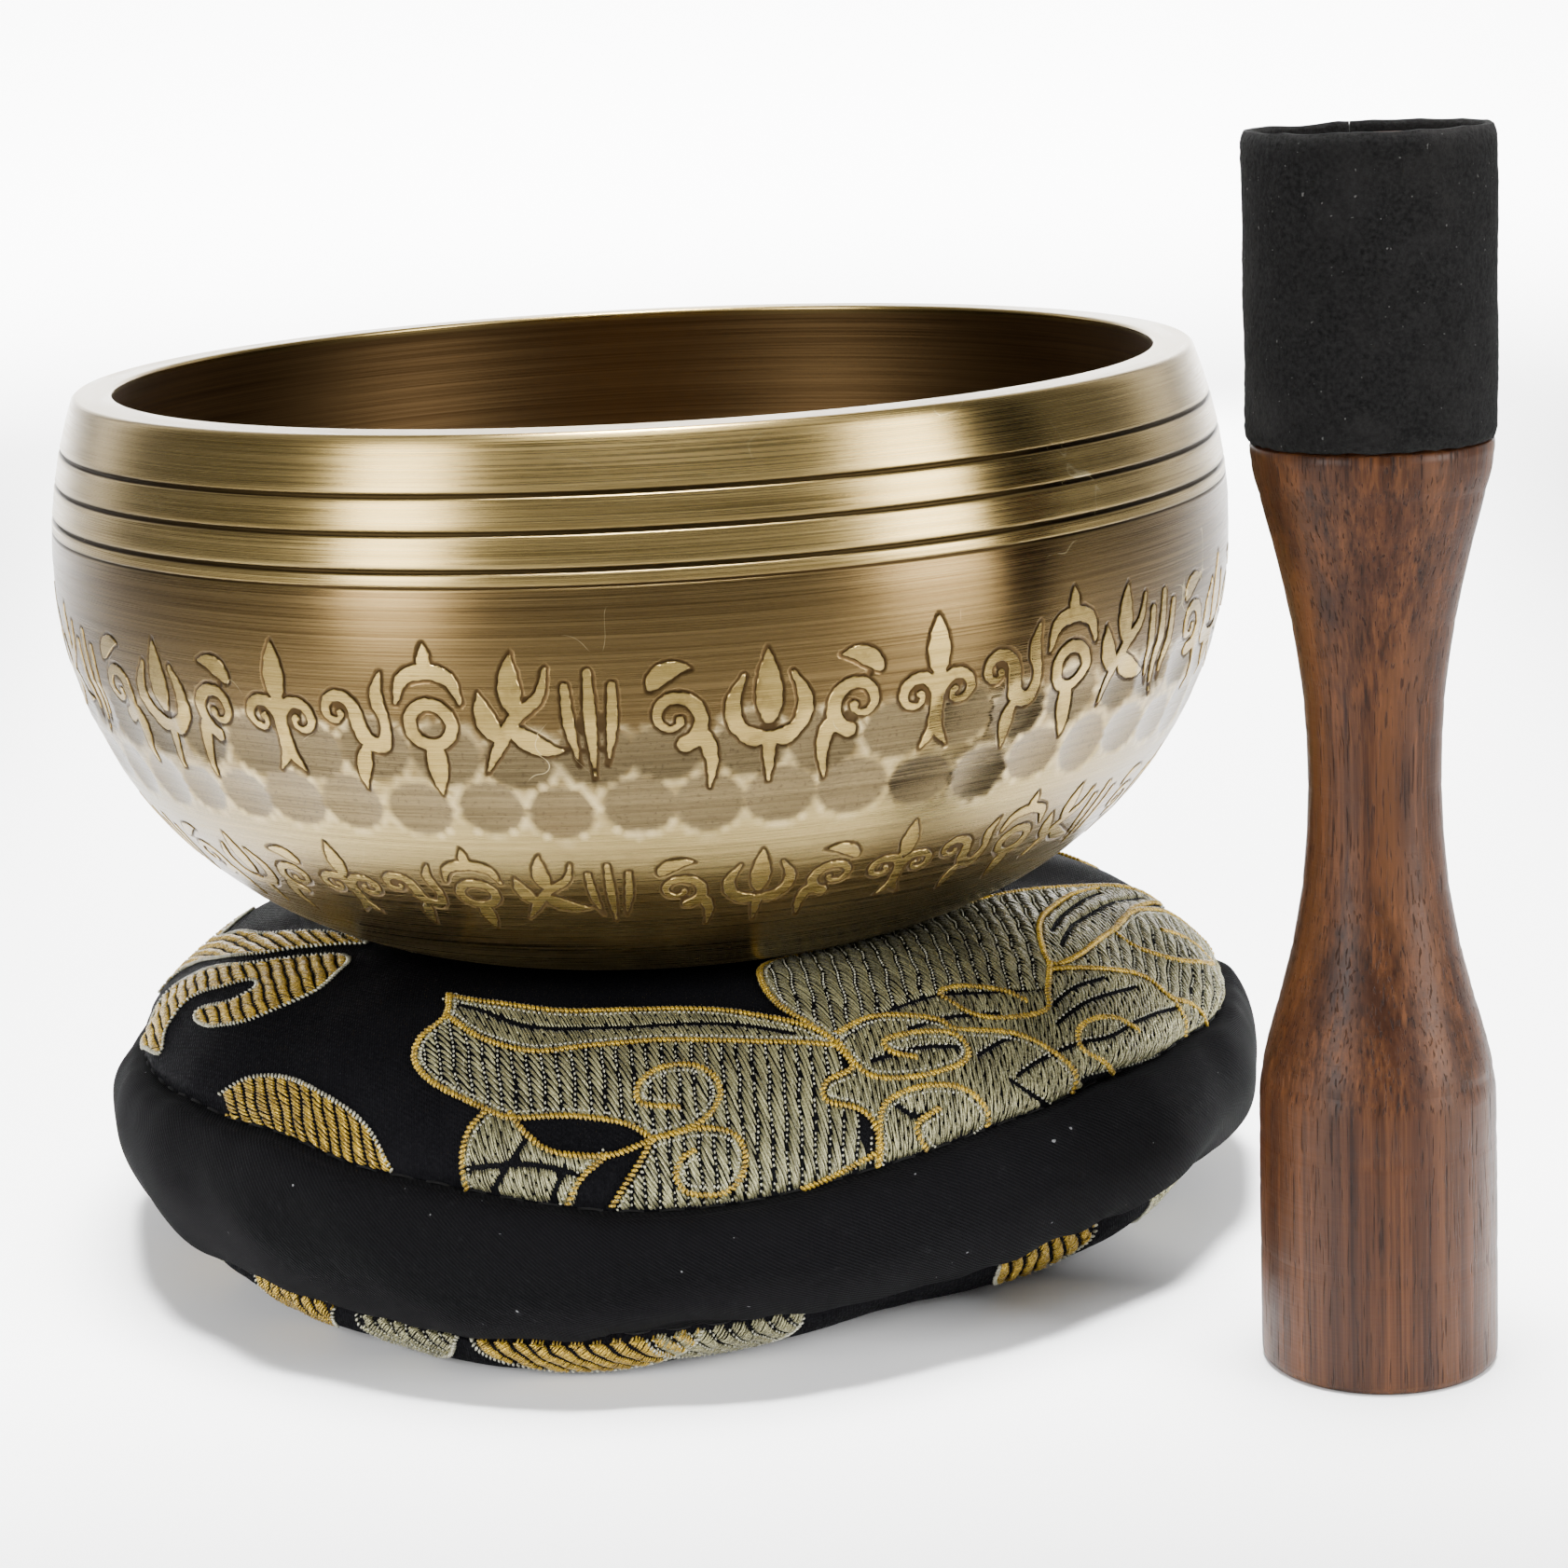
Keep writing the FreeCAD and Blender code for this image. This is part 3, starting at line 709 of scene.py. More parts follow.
def inner_profile():
    """The lip's face and the inside of the bowl, from the lip's outer corner to the middle."""
    outer_radius, outer_height, _, _ = (float(v) for v in wall_point(WALL_LENGTH))
    rise = 0.18
    rows = [(outer_radius - 0.06, outer_height - 0.16), (outer_radius - 0.22, outer_height - 0.06)]
    for t in np.linspace(0.12, 0.88, 5):
        rows.append((outer_radius - LIP_FACE * t, outer_height - 0.04 + rise * (t - 0.5) * 0.4))
    inner_lip = outer_radius - LIP_FACE
    rows += [(inner_lip + 0.2, outer_height - 0.02), (inner_lip + 0.05, outer_height - 0.14),
             (inner_lip, outer_height - 0.4)]
    inner_belly = BELLY_RADIUS - WALL_AT_BELLY
    belly_height = SEAT + BELLY_RISE
    chord = np.array([inner_belly - inner_lip, belly_height - outer_height])
    length = np.hypot(*chord)
    side = np.array([-chord[1], chord[0]]) / length
    bulge = math.sqrt(LIP_INNER_ARC ** 2 - (length / 2) ** 2)
    centre = np.array([inner_lip, outer_height]) + chord / 2 - side * bulge
    start = math.atan2(outer_height - centre[1], inner_lip - centre[0])
    stop = math.atan2(belly_height - centre[1], inner_belly - centre[0])
    for t in np.linspace(0.06, 1, 14):
        angle = start + t * (stop - start)
        rows.append((centre[0] + LIP_INNER_ARC * math.cos(angle),
                     centre[1] + LIP_INNER_ARC * math.sin(angle)))
    inner_arc = BELLY_RISE - FLOOR_THICKNESS
    for t in np.linspace(0, 1, 34)[1:]:
        angle = t * math.pi / 2
        rows.append((inner_belly - inner_arc * (1 - math.cos(angle)),
                     belly_height - inner_arc * math.sin(angle)))
    floor_radius, floor_height = rows[-1]
    rows += [(floor_radius * t, floor_height) for t in (0.8, 0.6, 0.4, 0.2)]
    return rows


BOWL_VALUES = ("ornament", "outline", "mark", "inside", "rim")


def make_bowl(material):
    """The bowl as one closed mesh: ornamented wall, grooved lip, inside and foot."""
    flat, sheet_faces, sinks, bright, dark, steps = ornament_sheet()
    parts = []

    def part(points, faces, values=None, normals=None, hard=None):
        """values: BOWL_VALUES of each point; hard: faces with no smooth normal."""
        count = len(points)
        values = np.zeros((count, len(BOWL_VALUES))) if values is None else values
        normals = np.zeros((count, 3)) if normals is None else normals
        hard = [False] * len(faces) if hard is None else list(hard)
        parts.append((points, faces, values, normals, hard))

    for k in range(REPEATS):
        # rounded, so that two neighbours work out their shared edge alike
        angle = np.round((flat[:, 0] / BELLY_RADIUS + k * SECTOR) % TURN, 9)
        s = flat[:, 1]
        depth, inside, rim = dimple_depth(angle, s)
        part(on_wall(angle, s, depth + sinks), sheet_faces.tolist(),
             np.stack([bright, dark, inside, 0 * inside, rim], 1), wall_normal(angle, s),
             steps)

    foot_rows = [(FOOT_RADIUS * t, SEAT) for t in (0.25, 0.5, 0.75, 0.93)]
    foot_s = np.linspace(0, ORNAMENT_LOW, 22)
    radius, height, _, _ = wall_point(foot_s)
    part(*ring_of_rows(foot_rows + list(zip(radius, height))))

    lip = lip_band_rows()
    radius, height, out, up = wall_point([row[0] for row in lip])
    lip_sinks = np.array([row[1] for row in lip])
    points, faces = ring_of_rows(list(zip(radius - lip_sinks * out, height - lip_sinks * up)))
    values = np.zeros((len(points), len(BOWL_VALUES)))
    values[:, BOWL_VALUES.index("outline")] = np.repeat([row[2] for row in lip], REPEATS * COLUMNS)
    part(points, faces, values)

    inner = [(radius[-1], height[-1])] + inner_profile()
    points, faces = ring_of_rows(inner)
    values = np.zeros((len(points), len(BOWL_VALUES)))
    is_inside_row = [float(k > LIP_ROWS) for k in range(len(inner))]
    values[:, BOWL_VALUES.index("inside")] = np.repeat(is_inside_row, REPEATS * COLUMNS)
    part(points, faces, values)

    points, faces, hard = [], [], []
    for part_points, part_faces, _, _, part_hard in parts:
        faces += [[len(points) + i for i in face] for face in part_faces]
        points += list(part_points)
        hard += part_hard
    # two flat faces close the middle of the foot and of the floor
    count = REPEATS * COLUMNS
    foot_start = REPEATS * len(flat)
    floor_start = len(points) - count
    faces.append([foot_start + i for i in range(count)][::-1])
    faces.append([floor_start + i for i in range(count)])
    hard += [False, False]
    welded, joined, first = weld(points, faces)
    values = np.concatenate([part[2] for part in parts])[first]
    normals = np.concatenate([part[3] for part in parts])[first]
    bowl = make_mesh("bowl_metal", welded, joined, "bowl", material,
                     replaces=["bowl"])
    for k, name in enumerate(BOWL_VALUES):
        add_attribute(bowl, name, values[:, k])
    give_normals(bowl, normals, hard)


def give_normals(piece, normals, hard):
    """Uses worked-out normals on the hammered wall, so that its thin triangles don't show."""
    mesh = piece.data
    if len(mesh.polygons) != len(hard):
        raise RuntimeError("faces were dropped while the bowl was joined")
    known = np.linalg.norm(normals, axis=1) > 0.5
    mesh.update()
    custom = np.array([c.vector for c in mesh.corner_normals])
    corner_vertex = np.zeros(len(mesh.loops), int)
    mesh.loops.foreach_get("vertex_index", corner_vertex)
    corner_face = np.repeat(np.arange(len(mesh.polygons)),
                            [len(p.vertices) for p in mesh.polygons])
    face_normals = np.array([p.normal for p in mesh.polygons])
    step = np.array(hard)[corner_face]
    use = known[corner_vertex] & ~step
    custom[use] = normals[corner_vertex[use]]
    custom[step] = face_normals[corner_face[step]]
    mesh.normals_split_custom_set(custom.tolist())


def bowl_material():
    """Aged, brushed brass: brown ground, bright ornament, dark outlines, rubbed hammer marks."""
    n = Nodes("aged_brass")
    place = n.position()
    height = n.height()
    ornament, outline, mark, inside, rim = (n.attribute(name) for name in BOWL_VALUES)
    brushed = n.noise(n.position((26, 26, 9500)), detail=4.0, roughness=0.65)
    fine = n.noise(n.position((120, 120, 24000)))
    bands = n.noise(n.position((7, 7, 2600)), detail=4.0, roughness=0.6)
    cloud = n.noise(place, scale=70, detail=4.0)
    wide = n.noise(n.position((22, 22, 380)), detail=4.0, roughness=0.6)
    speckle = n.noise(place, scale=2600)
    streaks = n.between(n.plus(n.times(brushed, 0.6), n.times(bands, 0.4)), 0.30, 0.70)

    def zone(start, end, wander=0.0, low=0.0, high=1.0):
        """Rises from low to high between two heights above the foot, at a wandering border."""
        return n.between(n.plus(height, wander), SEAT + start, SEAT + end, low, high)

    def streaked(dark, light):
        return n.mix(streaks, dark, light)

    # the ground: brown, paler from the hammer marks down, dull round the foot
    above = zone(SCORE_RISE + 0.3, SCORE_RISE + 1.1, n.times(wide, 1.5))
    brown = streaked((0.066, 0.041, 0.015), (0.150, 0.101, 0.040))
    tan = streaked((0.130, 0.095, 0.036), (0.265, 0.200, 0.082))
    dull = streaked((0.062, 0.039, 0.014), (0.132, 0.090, 0.034))
    ground = n.mix(zone(34.0, 23.0, n.times(cloud, 6.0)), brown, tan)
    foot = n.times(zone(22.0, 17.0, n.times(cloud, 5.0)), zone(3.0, 8.0, low=0.15, high=0.95))
    ground = n.mix(foot, ground, dull)
    # hammer marks: grey and speckled, with bright rims
    grey = streaked((0.058, 0.042, 0.020), (0.124, 0.093, 0.046))
    grey = n.mix(n.between(speckle, 0.55, 0.75, 0, 0.5), grey, (0.028, 0.019, 0.011))
    ground = n.mix(n.between(mark, 0.0, 0.30), ground, grey)
    rubbed = n.times(rim, n.between(cloud, 0.35, 0.6, 0.35, 1.0))
    ground = n.mix(rubbed, ground, (0.40, 0.315, 0.16))
    # bright above the scored line, and on the ornament where it isn't worn
    base = n.mix(above, ground, streaked((0.195, 0.135, 0.045), (0.335, 0.245, 0.095)))
    worn = n.between(n.noise(place, scale=420, detail=4.0, roughness=0.6), 0.5, 0.7, 0, 0.7)
    raised = streaked((0.235, 0.165, 0.050), (0.355, 0.258, 0.088))
    raised = n.mix(worn, raised, (0.170, 0.115, 0.036))
    base = n.mix(n.between(ornament, 0.4, 0.6), base, raised)
    grime = n.mix(above, (0.040, 0.023, 0.009), (0.018, 0.010, 0.004))
    base = n.mix(n.between(outline, 0.02, 0.7, 0, 0.9), base, grime)
    # hairline scratches, a few here and there
    hair = n.math("ABSOLUTE", n.math("SUBTRACT", n.noise(place, scale=240, detail=0.0), 0.5))
    scratch = n.times(n.between(hair, 0.0045, 0.001),
                      n.between(n.noise(place, scale=110, detail=1.0), 0.66, 0.70))
    base = n.mix(n.times(scratch, 0.7), base, (0.45, 0.37, 0.20))
    # the inside is darker and warmer, and lower down it is painted near black as shade in the
    # bowl's hollow
    lining_and_painted_shade = streaked((0.105, 0.060, 0.024), (0.195, 0.120, 0.050))
    # painted shade: the inside darkens to near black from 36 mm above the foot down to 22 mm and
    # below
    lining_and_painted_shade = n.mix(zone(36.0, 22.0), lining_and_painted_shade, (0.030, 0.020, 0.010))
    base = n.mix(inside, base, lining_and_painted_shade)
    base = n.mix(n.between(cloud, 0.60, 0.8, 0, 0.4), base, (0.085, 0.052, 0.022))

    rough = n.plus(n.between(brushed, 0.3, 0.7, 0.22, 0.33), n.times(outline, 0.3))
    rough = n.plus(rough, n.times(inside, 0.16))
    n.bump((brushed, 0.30, 0.00003), (fine, 0.25, 0.000015))
    n.set(Metallic=1.0, Anisotropic=0.65, Anisotropic_Rotation=0.25)
    tangent = n.add("ShaderNodeTangent", direction_type="RADIAL", axis="Z")
    n.link(tangent.outputs[0], n.shader.inputs["Tangent"])
    return n.out(Base_Color=base, Roughness=rough)


# ---------------------------------------------------------------- the cushion's surface
# Each panel of the cushion is a grid of points. A place on a round panel is given by flat
# coordinates x, y: the panel's cloth laid out flat, with the distance from its middle measured
# along the cloth. The front of the cushion, towards the camera, is at y < 0.

PANEL_LOW, PANEL_HIGH = cad_box("cushion_top_panel")
BAND_LOW, BAND_HIGH = cad_box("cushion_side_band")
CLOTH = 0.7
CROWN_HEIGHT = PANEL_HIGH[2]
SEAM_RADIUS, SEAM_HEIGHT = (PANEL_HIGH[0] - PANEL_LOW[0]) / 2, BAND_HIGH[2]
BASE_SEAM_RADIUS, BASE_SEAM_HEIGHT = 54.0, BAND_LOW[2]
SEAT_HEIGHT = SEAT - 0.3
SEAT_RADIUS, CROWN_RADIUS, TOP_ARC = 22.0, 36.0, 24.0
BAND_ARC = 8.8
BASE_RADIUS, BASE_ARC = 43.0, 19.0
COLUMNS_ROUND = 384
VALLEY_DEPTH, VALLEY_HALF_WIDTH = 0.75, 0.9
PUCKER_WAVES, PUCKER_SIZE, PUCKER_REACH = (38, 74), 0.3, 3.2
LUMP_LENGTH, SMALL_LUMP_LENGTH, SMALL_LUMP_SHARE = 24, 9, 0.3


def arc(start, end, radius, count):
    """Points of the arc between two (radius, height) points that bulges to the left of them."""
    start, end = np.array(start, float), np.array(end, float)
    chord = end - start
    length = np.hypot(*chord)
    side = np.array([-chord[1], chord[0]]) / length
    centre = (start + end) / 2 - side * math.sqrt(radius ** 2 - (length / 2) ** 2)
    a = math.atan2(*(start - centre)[::-1])
    b = math.atan2(*(end - centre)[::-1])
    angles = np.linspace(a, a + (b - a + math.pi) % TURN - math.pi, count)
    return np.stack([centre[0] + radius * np.cos(angles), centre[1] + radius * np.sin(angles)], 1)


def top_profile():
    """The top panel's section: flat seat, soft shoulder, full crown, down to the seam."""
    seat = np.stack([np.linspace(0, SEAT_RADIUS, 30), np.full(30, SEAT_HEIGHT)], 1)
    t = np.linspace(0, 1, 20)[1:]
    rise = (CROWN_HEIGHT - SEAT_HEIGHT) * t ** 2 * (3 - 2 * t)
    shoulder = np.stack([SEAT_RADIUS + (CROWN_RADIUS - SEAT_RADIUS) * t, SEAT_HEIGHT + rise], 1)
    crown = arc((CROWN_RADIUS, CROWN_HEIGHT), (SEAM_RADIUS, SEAM_HEIGHT), TOP_ARC, 50)[1:]
    return np.vstack([seat, shoulder, crown])


def band_profile():
    """The side band's section, from the top seam to the bottom seam."""
    return arc((SEAM_RADIUS, SEAM_HEIGHT), (BASE_SEAM_RADIUS, BASE_SEAM_HEIGHT), BAND_ARC, 44)


def base_profile():
    """The bottom panel's section, from its middle to the bottom seam."""
    flat = np.stack([np.linspace(0, BASE_RADIUS, 34), np.zeros(34)], 1)
    edge = arc((BASE_SEAM_RADIUS, BASE_SEAM_HEIGHT), (BASE_RADIUS, 0), BASE_ARC, 24)[::-1][1:]
    return np.vstack([flat, edge])


def round_curve(stops, angles):
    """A smooth closed curve through (degrees, value) stops, at some angles in radians."""
    places = np.radians([s[0] for s in stops])
    values = np.array([s[1] for s in stops], float)
    places = np.concatenate([places - TURN, places, places + TURN])
    values = np.tile(values, 3)
    slopes = np.gradient(values, places)
    turn = (angles + math.pi) % TURN - math.pi
    k = np.searchsorted(places, turn) - 1
    gap = places[k + 1] - places[k]
    t = (turn - places[k]) / gap
    return ((1 + 2 * t) * (1 - t) ** 2 * values[k] + t * (1 - t) ** 2 * gap * slopes[k]
            + t * t * (3 - 2 * t) * values[k + 1] + t * t * (t - 1) * gap * slopes[k + 1])


# how the real cushion departs from round: front -90, right 0, back 90, left 180 degrees
TOP_SEAM_RISE = ((-160, 1.8), (-135, 2.6), (-112, 0.2), (-88, -2.2), (-66, 0.3), (-42, 2.4),
                 (-10, 1.4), (35, 0.3), (80, 0.8), (120, -0.4), (165, 0.2))
TOP_SEAM_OUT = ((-170, -0.8), (-120, 0.2), (-85, 0.6), (-40, 1.0), (-5, 2.6), (40, 1.0),
                (90, 0.0), (135, -0.6))
BASE_SEAM_RISE = ((-165, 1.4), (-125, 0.4), (-100, 0.0), (-68, 1.2), (-35, 1.8), (0, 0.8),
                  (60, 0.2), (120, 0.6))
BASE_SEAM_OUT = ((-170, -1.2), (-125, 0.8), (-100, 1.6), (-62, -0.9), (-30, 0.6), (0, 1.6),
                 (60, 0.4), (120, -0.6))
BASE_EDGE_OUT = ((-165, 1.0), (-130, 3.4), (-100, 6.5), (-66, -1.0), (-35, 3.0), (0, 2.5),
                 (60, 1.0), (120, 2.0))


def ripples(angles, seed, waves, size):
    """A wavy number round the cushion, with a few seeded waves in a range of counts."""
    draw = random.Random(seed)
    total = np.zeros_like(angles)
    for _ in range(7):
        count = draw.randint(*waves)
        total += draw.uniform(0.4, 1) * np.sin(count * angles + draw.uniform(0, TURN))
    return total * size / 3


def lumps(points, seed, wavelength, size):
    """Soft lumps over a surface, from a few seeded plane waves."""
    draw = random.Random(seed)
    total = np.zeros(points.shape[:-1])
    for _ in range(9):
        heading = np.array([draw.gauss(0, 1) for _ in range(3)])
        heading *= TURN / (wavelength * draw.uniform(0.7, 1.5)) / np.linalg.norm(heading)
        total += np.sin(points @ heading + draw.uniform(0, TURN))
    return total * size / 3


def grid_normals(grid):
    """Outward normals of a grid of points whose columns close round."""
    along = np.gradient(grid, axis=0)
    around = np.roll(grid, -1, 1) - np.roll(grid, 1, 1)
    return unit(np.cross(along, around))


class Panel:
    """A cloth surface: a grid of points, from the inner rows outward, closed round."""

    def __init__(self, reach, grid, facing=1):
        self.reach = np.asarray(reach)
        self.grid = grid
        self.normals = grid_normals(grid) * facing
        self.normals[0] = self.normals[1].mean(axis=0)
        self.edge = self.reach[-1]

    def at(self, x, y):
        """Points and normals at flat coordinates."""
        rows = np.interp(np.hypot(x, y), self.reach, np.arange(len(self.reach)))
        columns = (np.arctan2(y, x) % TURN) / TURN * self.grid.shape[1]
        r0 = np.minimum(rows.astype(int), len(self.reach) - 2)
        c0 = columns.astype(int) % self.grid.shape[1]
        c1 = (c0 + 1) % self.grid.shape[1]
        fr, fc = (rows - r0)[..., None], (columns - columns.astype(int))[..., None]
        found = []
        for values in (self.grid, self.normals):
            found.append((1 - fr) * ((1 - fc) * values[r0, c0] + fc * values[r0, c1])
                         + fr * ((1 - fc) * values[r0 + 1, c0] + fc * values[r0 + 1, c1]))
        return found[0], unit(found[1])


def spread(profile, count, crowd):
    """Resamples a section to count points, closer together towards its end as crowd grows."""
    reach = reach_along(profile)
    t = np.linspace(0, 1, count)
    wanted = reach[-1] * (t if crowd == 0 else 1 - (1 - t) ** crowd)
    return wanted, np.stack([np.interp(wanted, reach, profile[:, k]) for k in (0, 1)], 1)


def make_panels():
    """The cushion's three cloth surfaces: top, band and base, which share their seams."""
    angles = np.linspace(0, TURN, COLUMNS_ROUND, endpoint=False)
    top_rise = round_curve(TOP_SEAM_RISE, angles) + ripples(angles, 3, (9, 24), 0.22)
    top_out = round_curve(TOP_SEAM_OUT, angles) + ripples(angles, 4, (9, 24), 0.25)
    base_rise = np.maximum(round_curve(BASE_SEAM_RISE, angles) + ripples(angles, 5, (7, 20), 0.3),
                           1.2 - BASE_SEAM_HEIGHT)
    base_out = round_curve(BASE_SEAM_OUT, angles) + ripples(angles, 6, (7, 20), 0.35)

    def turned(section, rise, out):
        """Sweeps a section round; rise and out are per row and column."""
        radius = section[:, :1] + out
        height = section[:, 1:] + rise
        return ring_points(radius, angles, height)

    def shaped(section, weight, rise, out, valley_reach, lump_size, seed):
        """Adds the lumps of the stuffing, and puckers and a valley along the seams."""
        valley = VALLEY_DEPTH * np.exp(-(valley_reach / VALLEY_HALF_WIDTH) ** 2)
        grid = turned(section, weight * rise, weight * out)
        normal = grid_normals(grid)
        if section[0, 1] < section[-1, 1]:
            normal = -normal
        free = np.clip(1 - valley / valley.max(), 0, 1)
        puckers = ripples(angles, seed, PUCKER_WAVES, PUCKER_SIZE)
        puckers = puckers * np.exp(-valley_reach / PUCKER_REACH)
        lumpy = (lumps(grid, seed, LUMP_LENGTH, lump_size)
                 + lumps(grid, seed + 1, SMALL_LUMP_LENGTH, lump_size * SMALL_LUMP_SHARE))
        push = (lumpy + puckers) * free - valley
        return grid + normal * push[:, :, None]

    # top
    reach, section = spread(top_profile(), 100, 1.25)
    weight = np.clip((section[:, :1] - 30) / (SEAM_RADIUS - 30), 0, 1) ** 1.3
    valley_reach = (reach[-1] - reach)[:, None]
    lift = np.clip((section[:, :1] - SEAT_RADIUS - 3) / 14, 0, 1)
    top = shaped(section, weight, top_rise, top_out, valley_reach, 0.42 * lift, 21)
    top_panel = Panel(reach, top)

    # band
    band_reach, section = spread(band_profile(), 44, 0)
    t = (band_reach / band_reach[-1])[:, None]
    blend = t * t * (3 - 2 * t)
    rise = (1 - blend) * top_rise + blend * base_rise
    out = (1 - blend) * top_out + blend * base_out
    valley_reach = np.minimum(band_reach, band_reach[-1] - band_reach)[:, None]
    band = shaped(section, np.ones_like(t), rise, out, valley_reach, 0.5, 31)
    # the seams are shared exactly
    band[0] = top[-1]
    band_panel = Panel(band_reach, band)

    # base
    reach, section = spread(base_profile(), 70, 1.2)
    weight = np.clip((section[:, :1] - 34) / (BASE_SEAM_RADIUS - 34), 0, 1) ** 1.2
    valley_reach = (reach[-1] - reach)[:, None]
    lift = np.clip((section[:, :1] - BASE_RADIUS) / 6, 0, 1)
    fullness = np.clip((section[:, :1] - 30) / (BASE_RADIUS - 30), 0, 1)
    fullness = fullness * np.clip((BASE_SEAM_RADIUS - section[:, :1])
                                  / (BASE_SEAM_RADIUS - BASE_RADIUS), 0, 1) ** 0.7
    section_rise = base_rise * (section[:, 1:] / BASE_SEAM_HEIGHT)
    grid_out = weight * base_out + fullness * round_curve(BASE_EDGE_OUT, angles)
    base = shaped(section, 1.0, section_rise, grid_out, valley_reach, 0.25 * lift, 41)
    base[:, :, 2] = np.maximum(base[:, :, 2], 0.0)
    base[-1] = band[-1]
    base_panel = Panel(reach, base, facing=-1)
    return top_panel, band_panel, base_panel


# ---------------------------------------------------------------- thread work

def grid_faces(rows, columns, flip=False):
    """Quads of a grid whose columns close round."""
    faces = []
    for r in range(rows - 1):
        for c in range(columns):
            n = (c + 1) % columns
            quad = [r * columns + c, (r + 1) * columns + c, (r + 1) * columns + n,
                    r * columns + n]
            faces.append(quad[::-1] if flip else quad)
    return faces


THREAD_SECTION = np.array([(-1.0, 0.0), (-0.55, 0.8), (0.55, 0.8), (1.0, 0.0), (0.0, -0.7)])


def threads(middle, normal, half_width, half_height, swell):
    """Closed threads: middle and normal are (thread, step, 3), swell is the size per step."""
    along = unit(np.gradient(middle, axis=1))
    side = unit(np.cross(along, normal))
    up = np.cross(side, along)
    count, steps = middle.shape[:2]
    ring = len(THREAD_SECTION)
    wide = (np.reshape(half_width, (-1, 1)) * swell)[:, :, None, None]
    high = (np.reshape(half_height, (-1, 1)) * swell)[:, :, None, None]
    points = (middle[:, :, None] + side[:, :, None] * THREAD_SECTION[:, :1] * wide
              + up[:, :, None] * THREAD_SECTION[:, 1:] * high)
    first = (np.arange(count) * steps * ring)[:, None, None]
    k = np.arange(steps - 1)[None, :, None] * ring
    i = np.arange(ring)[None, None, :]
    j = (i + 1) % ring
    quads = np.stack([first + k + i, first + k + j, first + k + ring + j, first + k + ring + i], 3)
    caps = first[:, 0] + np.arange(ring)
    faces = quads.reshape(-1, 4).tolist() + caps[:, ::-1].tolist()
    faces += (caps + (steps - 1) * ring).tolist()
    return points.reshape(-1, 3), faces


BEAD_POINTS = 14


def beads(centre, along, normal, sizes):
    """Small closed lumps: centre, along and normal are (bead, 3), sizes (bead, 3)."""
    belt = np.array([(math.cos(a), math.sin(a)) for a in np.arange(6) * TURN / 6])
    shape = [(0, 0, 1.0)] + [(0.82 * c, 0.82 * s, 0.55) for c, s in belt]
    shape += [(0.82 * c, 0.82 * s, -0.55) for c, s in belt] + [(0, 0, -1.0)]
    shape = np.array(shape)
    faces = [(0, 1 + k, 1 + (k + 1) % 6) for k in range(6)]
    faces += [(1 + k, 7 + k, 7 + (k + 1) % 6, 1 + (k + 1) % 6) for k in range(6)]
    faces += [(13, 7 + (k + 1) % 6, 7 + k) for k in range(6)]
    side = np.cross(normal, along)
    axes = np.stack([along * sizes[:, :1], side * sizes[:, 1:2], normal * sizes[:, 2:]], 1)
    points = centre[:, None] + shape @ axes
    all_faces = [[BEAD_POINTS * n + i for i in face] for n in range(len(centre))
                 for face in faces]
    return points.reshape(-1, 3), all_faces


class Bundle:
    """Collects thread meshes into one piece, with a tone that differs from thread to thread."""

    def __init__(self, seed):
        self.points, self.faces, self.tones = [], [], []
        self.draw = np.random.default_rng(seed)
        self.count = 0

    def take(self, made, per_item):
        points, faces = made
        self.points.append(points)
        self.faces += [[self.count + i for i in face] for face in faces]
        tone = self.draw.random(len(points) // per_item)
        self.tones.append(np.repeat(tone, per_item))
        self.count += len(points)

    def stitch(self, middle, normal, half):
        """Adds short threads of an even thickness."""
        even = np.ones((1, middle.shape[1]))
        self.take(threads(middle, normal, half, half, even), even.size * len(THREAD_SECTION))

    def piece(self, name, slot, material, replaces=()):
        points = np.vstack(self.points)
        points[:, 2] = np.maximum(points[:, 2], 0.0)
        made = make_mesh(name, points, self.faces, "cushion", material, replaces=replaces)
        add_attribute(made, "tone", np.concatenate(self.tones))
        return made


def is_inside(polygon, x, y):
    """Which points lie in a polygon."""
    inside = np.zeros(np.shape(x), bool)
    for (ax, ay), (bx, by) in zip(polygon, polygon[1:] + polygon[:1]):
        spans = (ay > y) != (by > y)
        with np.errstate(divide="ignore", invalid="ignore"):
            cross = (bx - ax) * (y - ay) / (by - ay) + ax
        inside ^= spans & (x < cross)
    return inside


def line_through(points, steps=8):
    """A smooth line through given flat points."""
    return along([(x, y, 0) for x, y in points], steps)[:, :2]


def distance_to(line, x, y):
    """Distance of flat points from a line."""
    best = np.full(np.shape(x), 1e9)
    for a, b in zip(line[:-1], line[1:]):
        best = np.minimum(best, nearest_on(a, b, x, y)[1])
    return best


# a float is a weft thread that lies on the cloth; its line is sampled every FLOAT_CELL, and
# the shortest float is so many cells long
FLOAT_LENGTH, FLOAT_CELL, SHORTEST_FLOAT = 4.3, 0.1, 6
FLOAT_HEIGHT = 0.12
FLOAT_STEPS, FLOAT_SWELL = 6, np.array([[0.5, 0.95, 1.0, 1.0, 0.95, 0.5]])
VEIN_HALF_WIDTH = 0.2
BEAD_SPACING = 0.52
BINDING_BEAD, VEIN_BEAD, EDGE_BEAD = (0.17, 0.12, 0.13), (0.13, 0.15, 0.13), (0.15, 0.19, 0.16)
LEAF_BEAD, HOOK_BEAD = (0.15, 0.34, 0.18), (0.16, 0.34, 0.16)
CORD_STITCH = (0.21, 0.46, 0.24)
PRESSED_REACH = 28.0


def twill_wobble(x, y):
    """How far a twill's gap rows wander, as a share of their spacing."""
    return 0.05 * np.sin(y * 1.3) + 0.04 * np.sin(x * 2.1 + y)


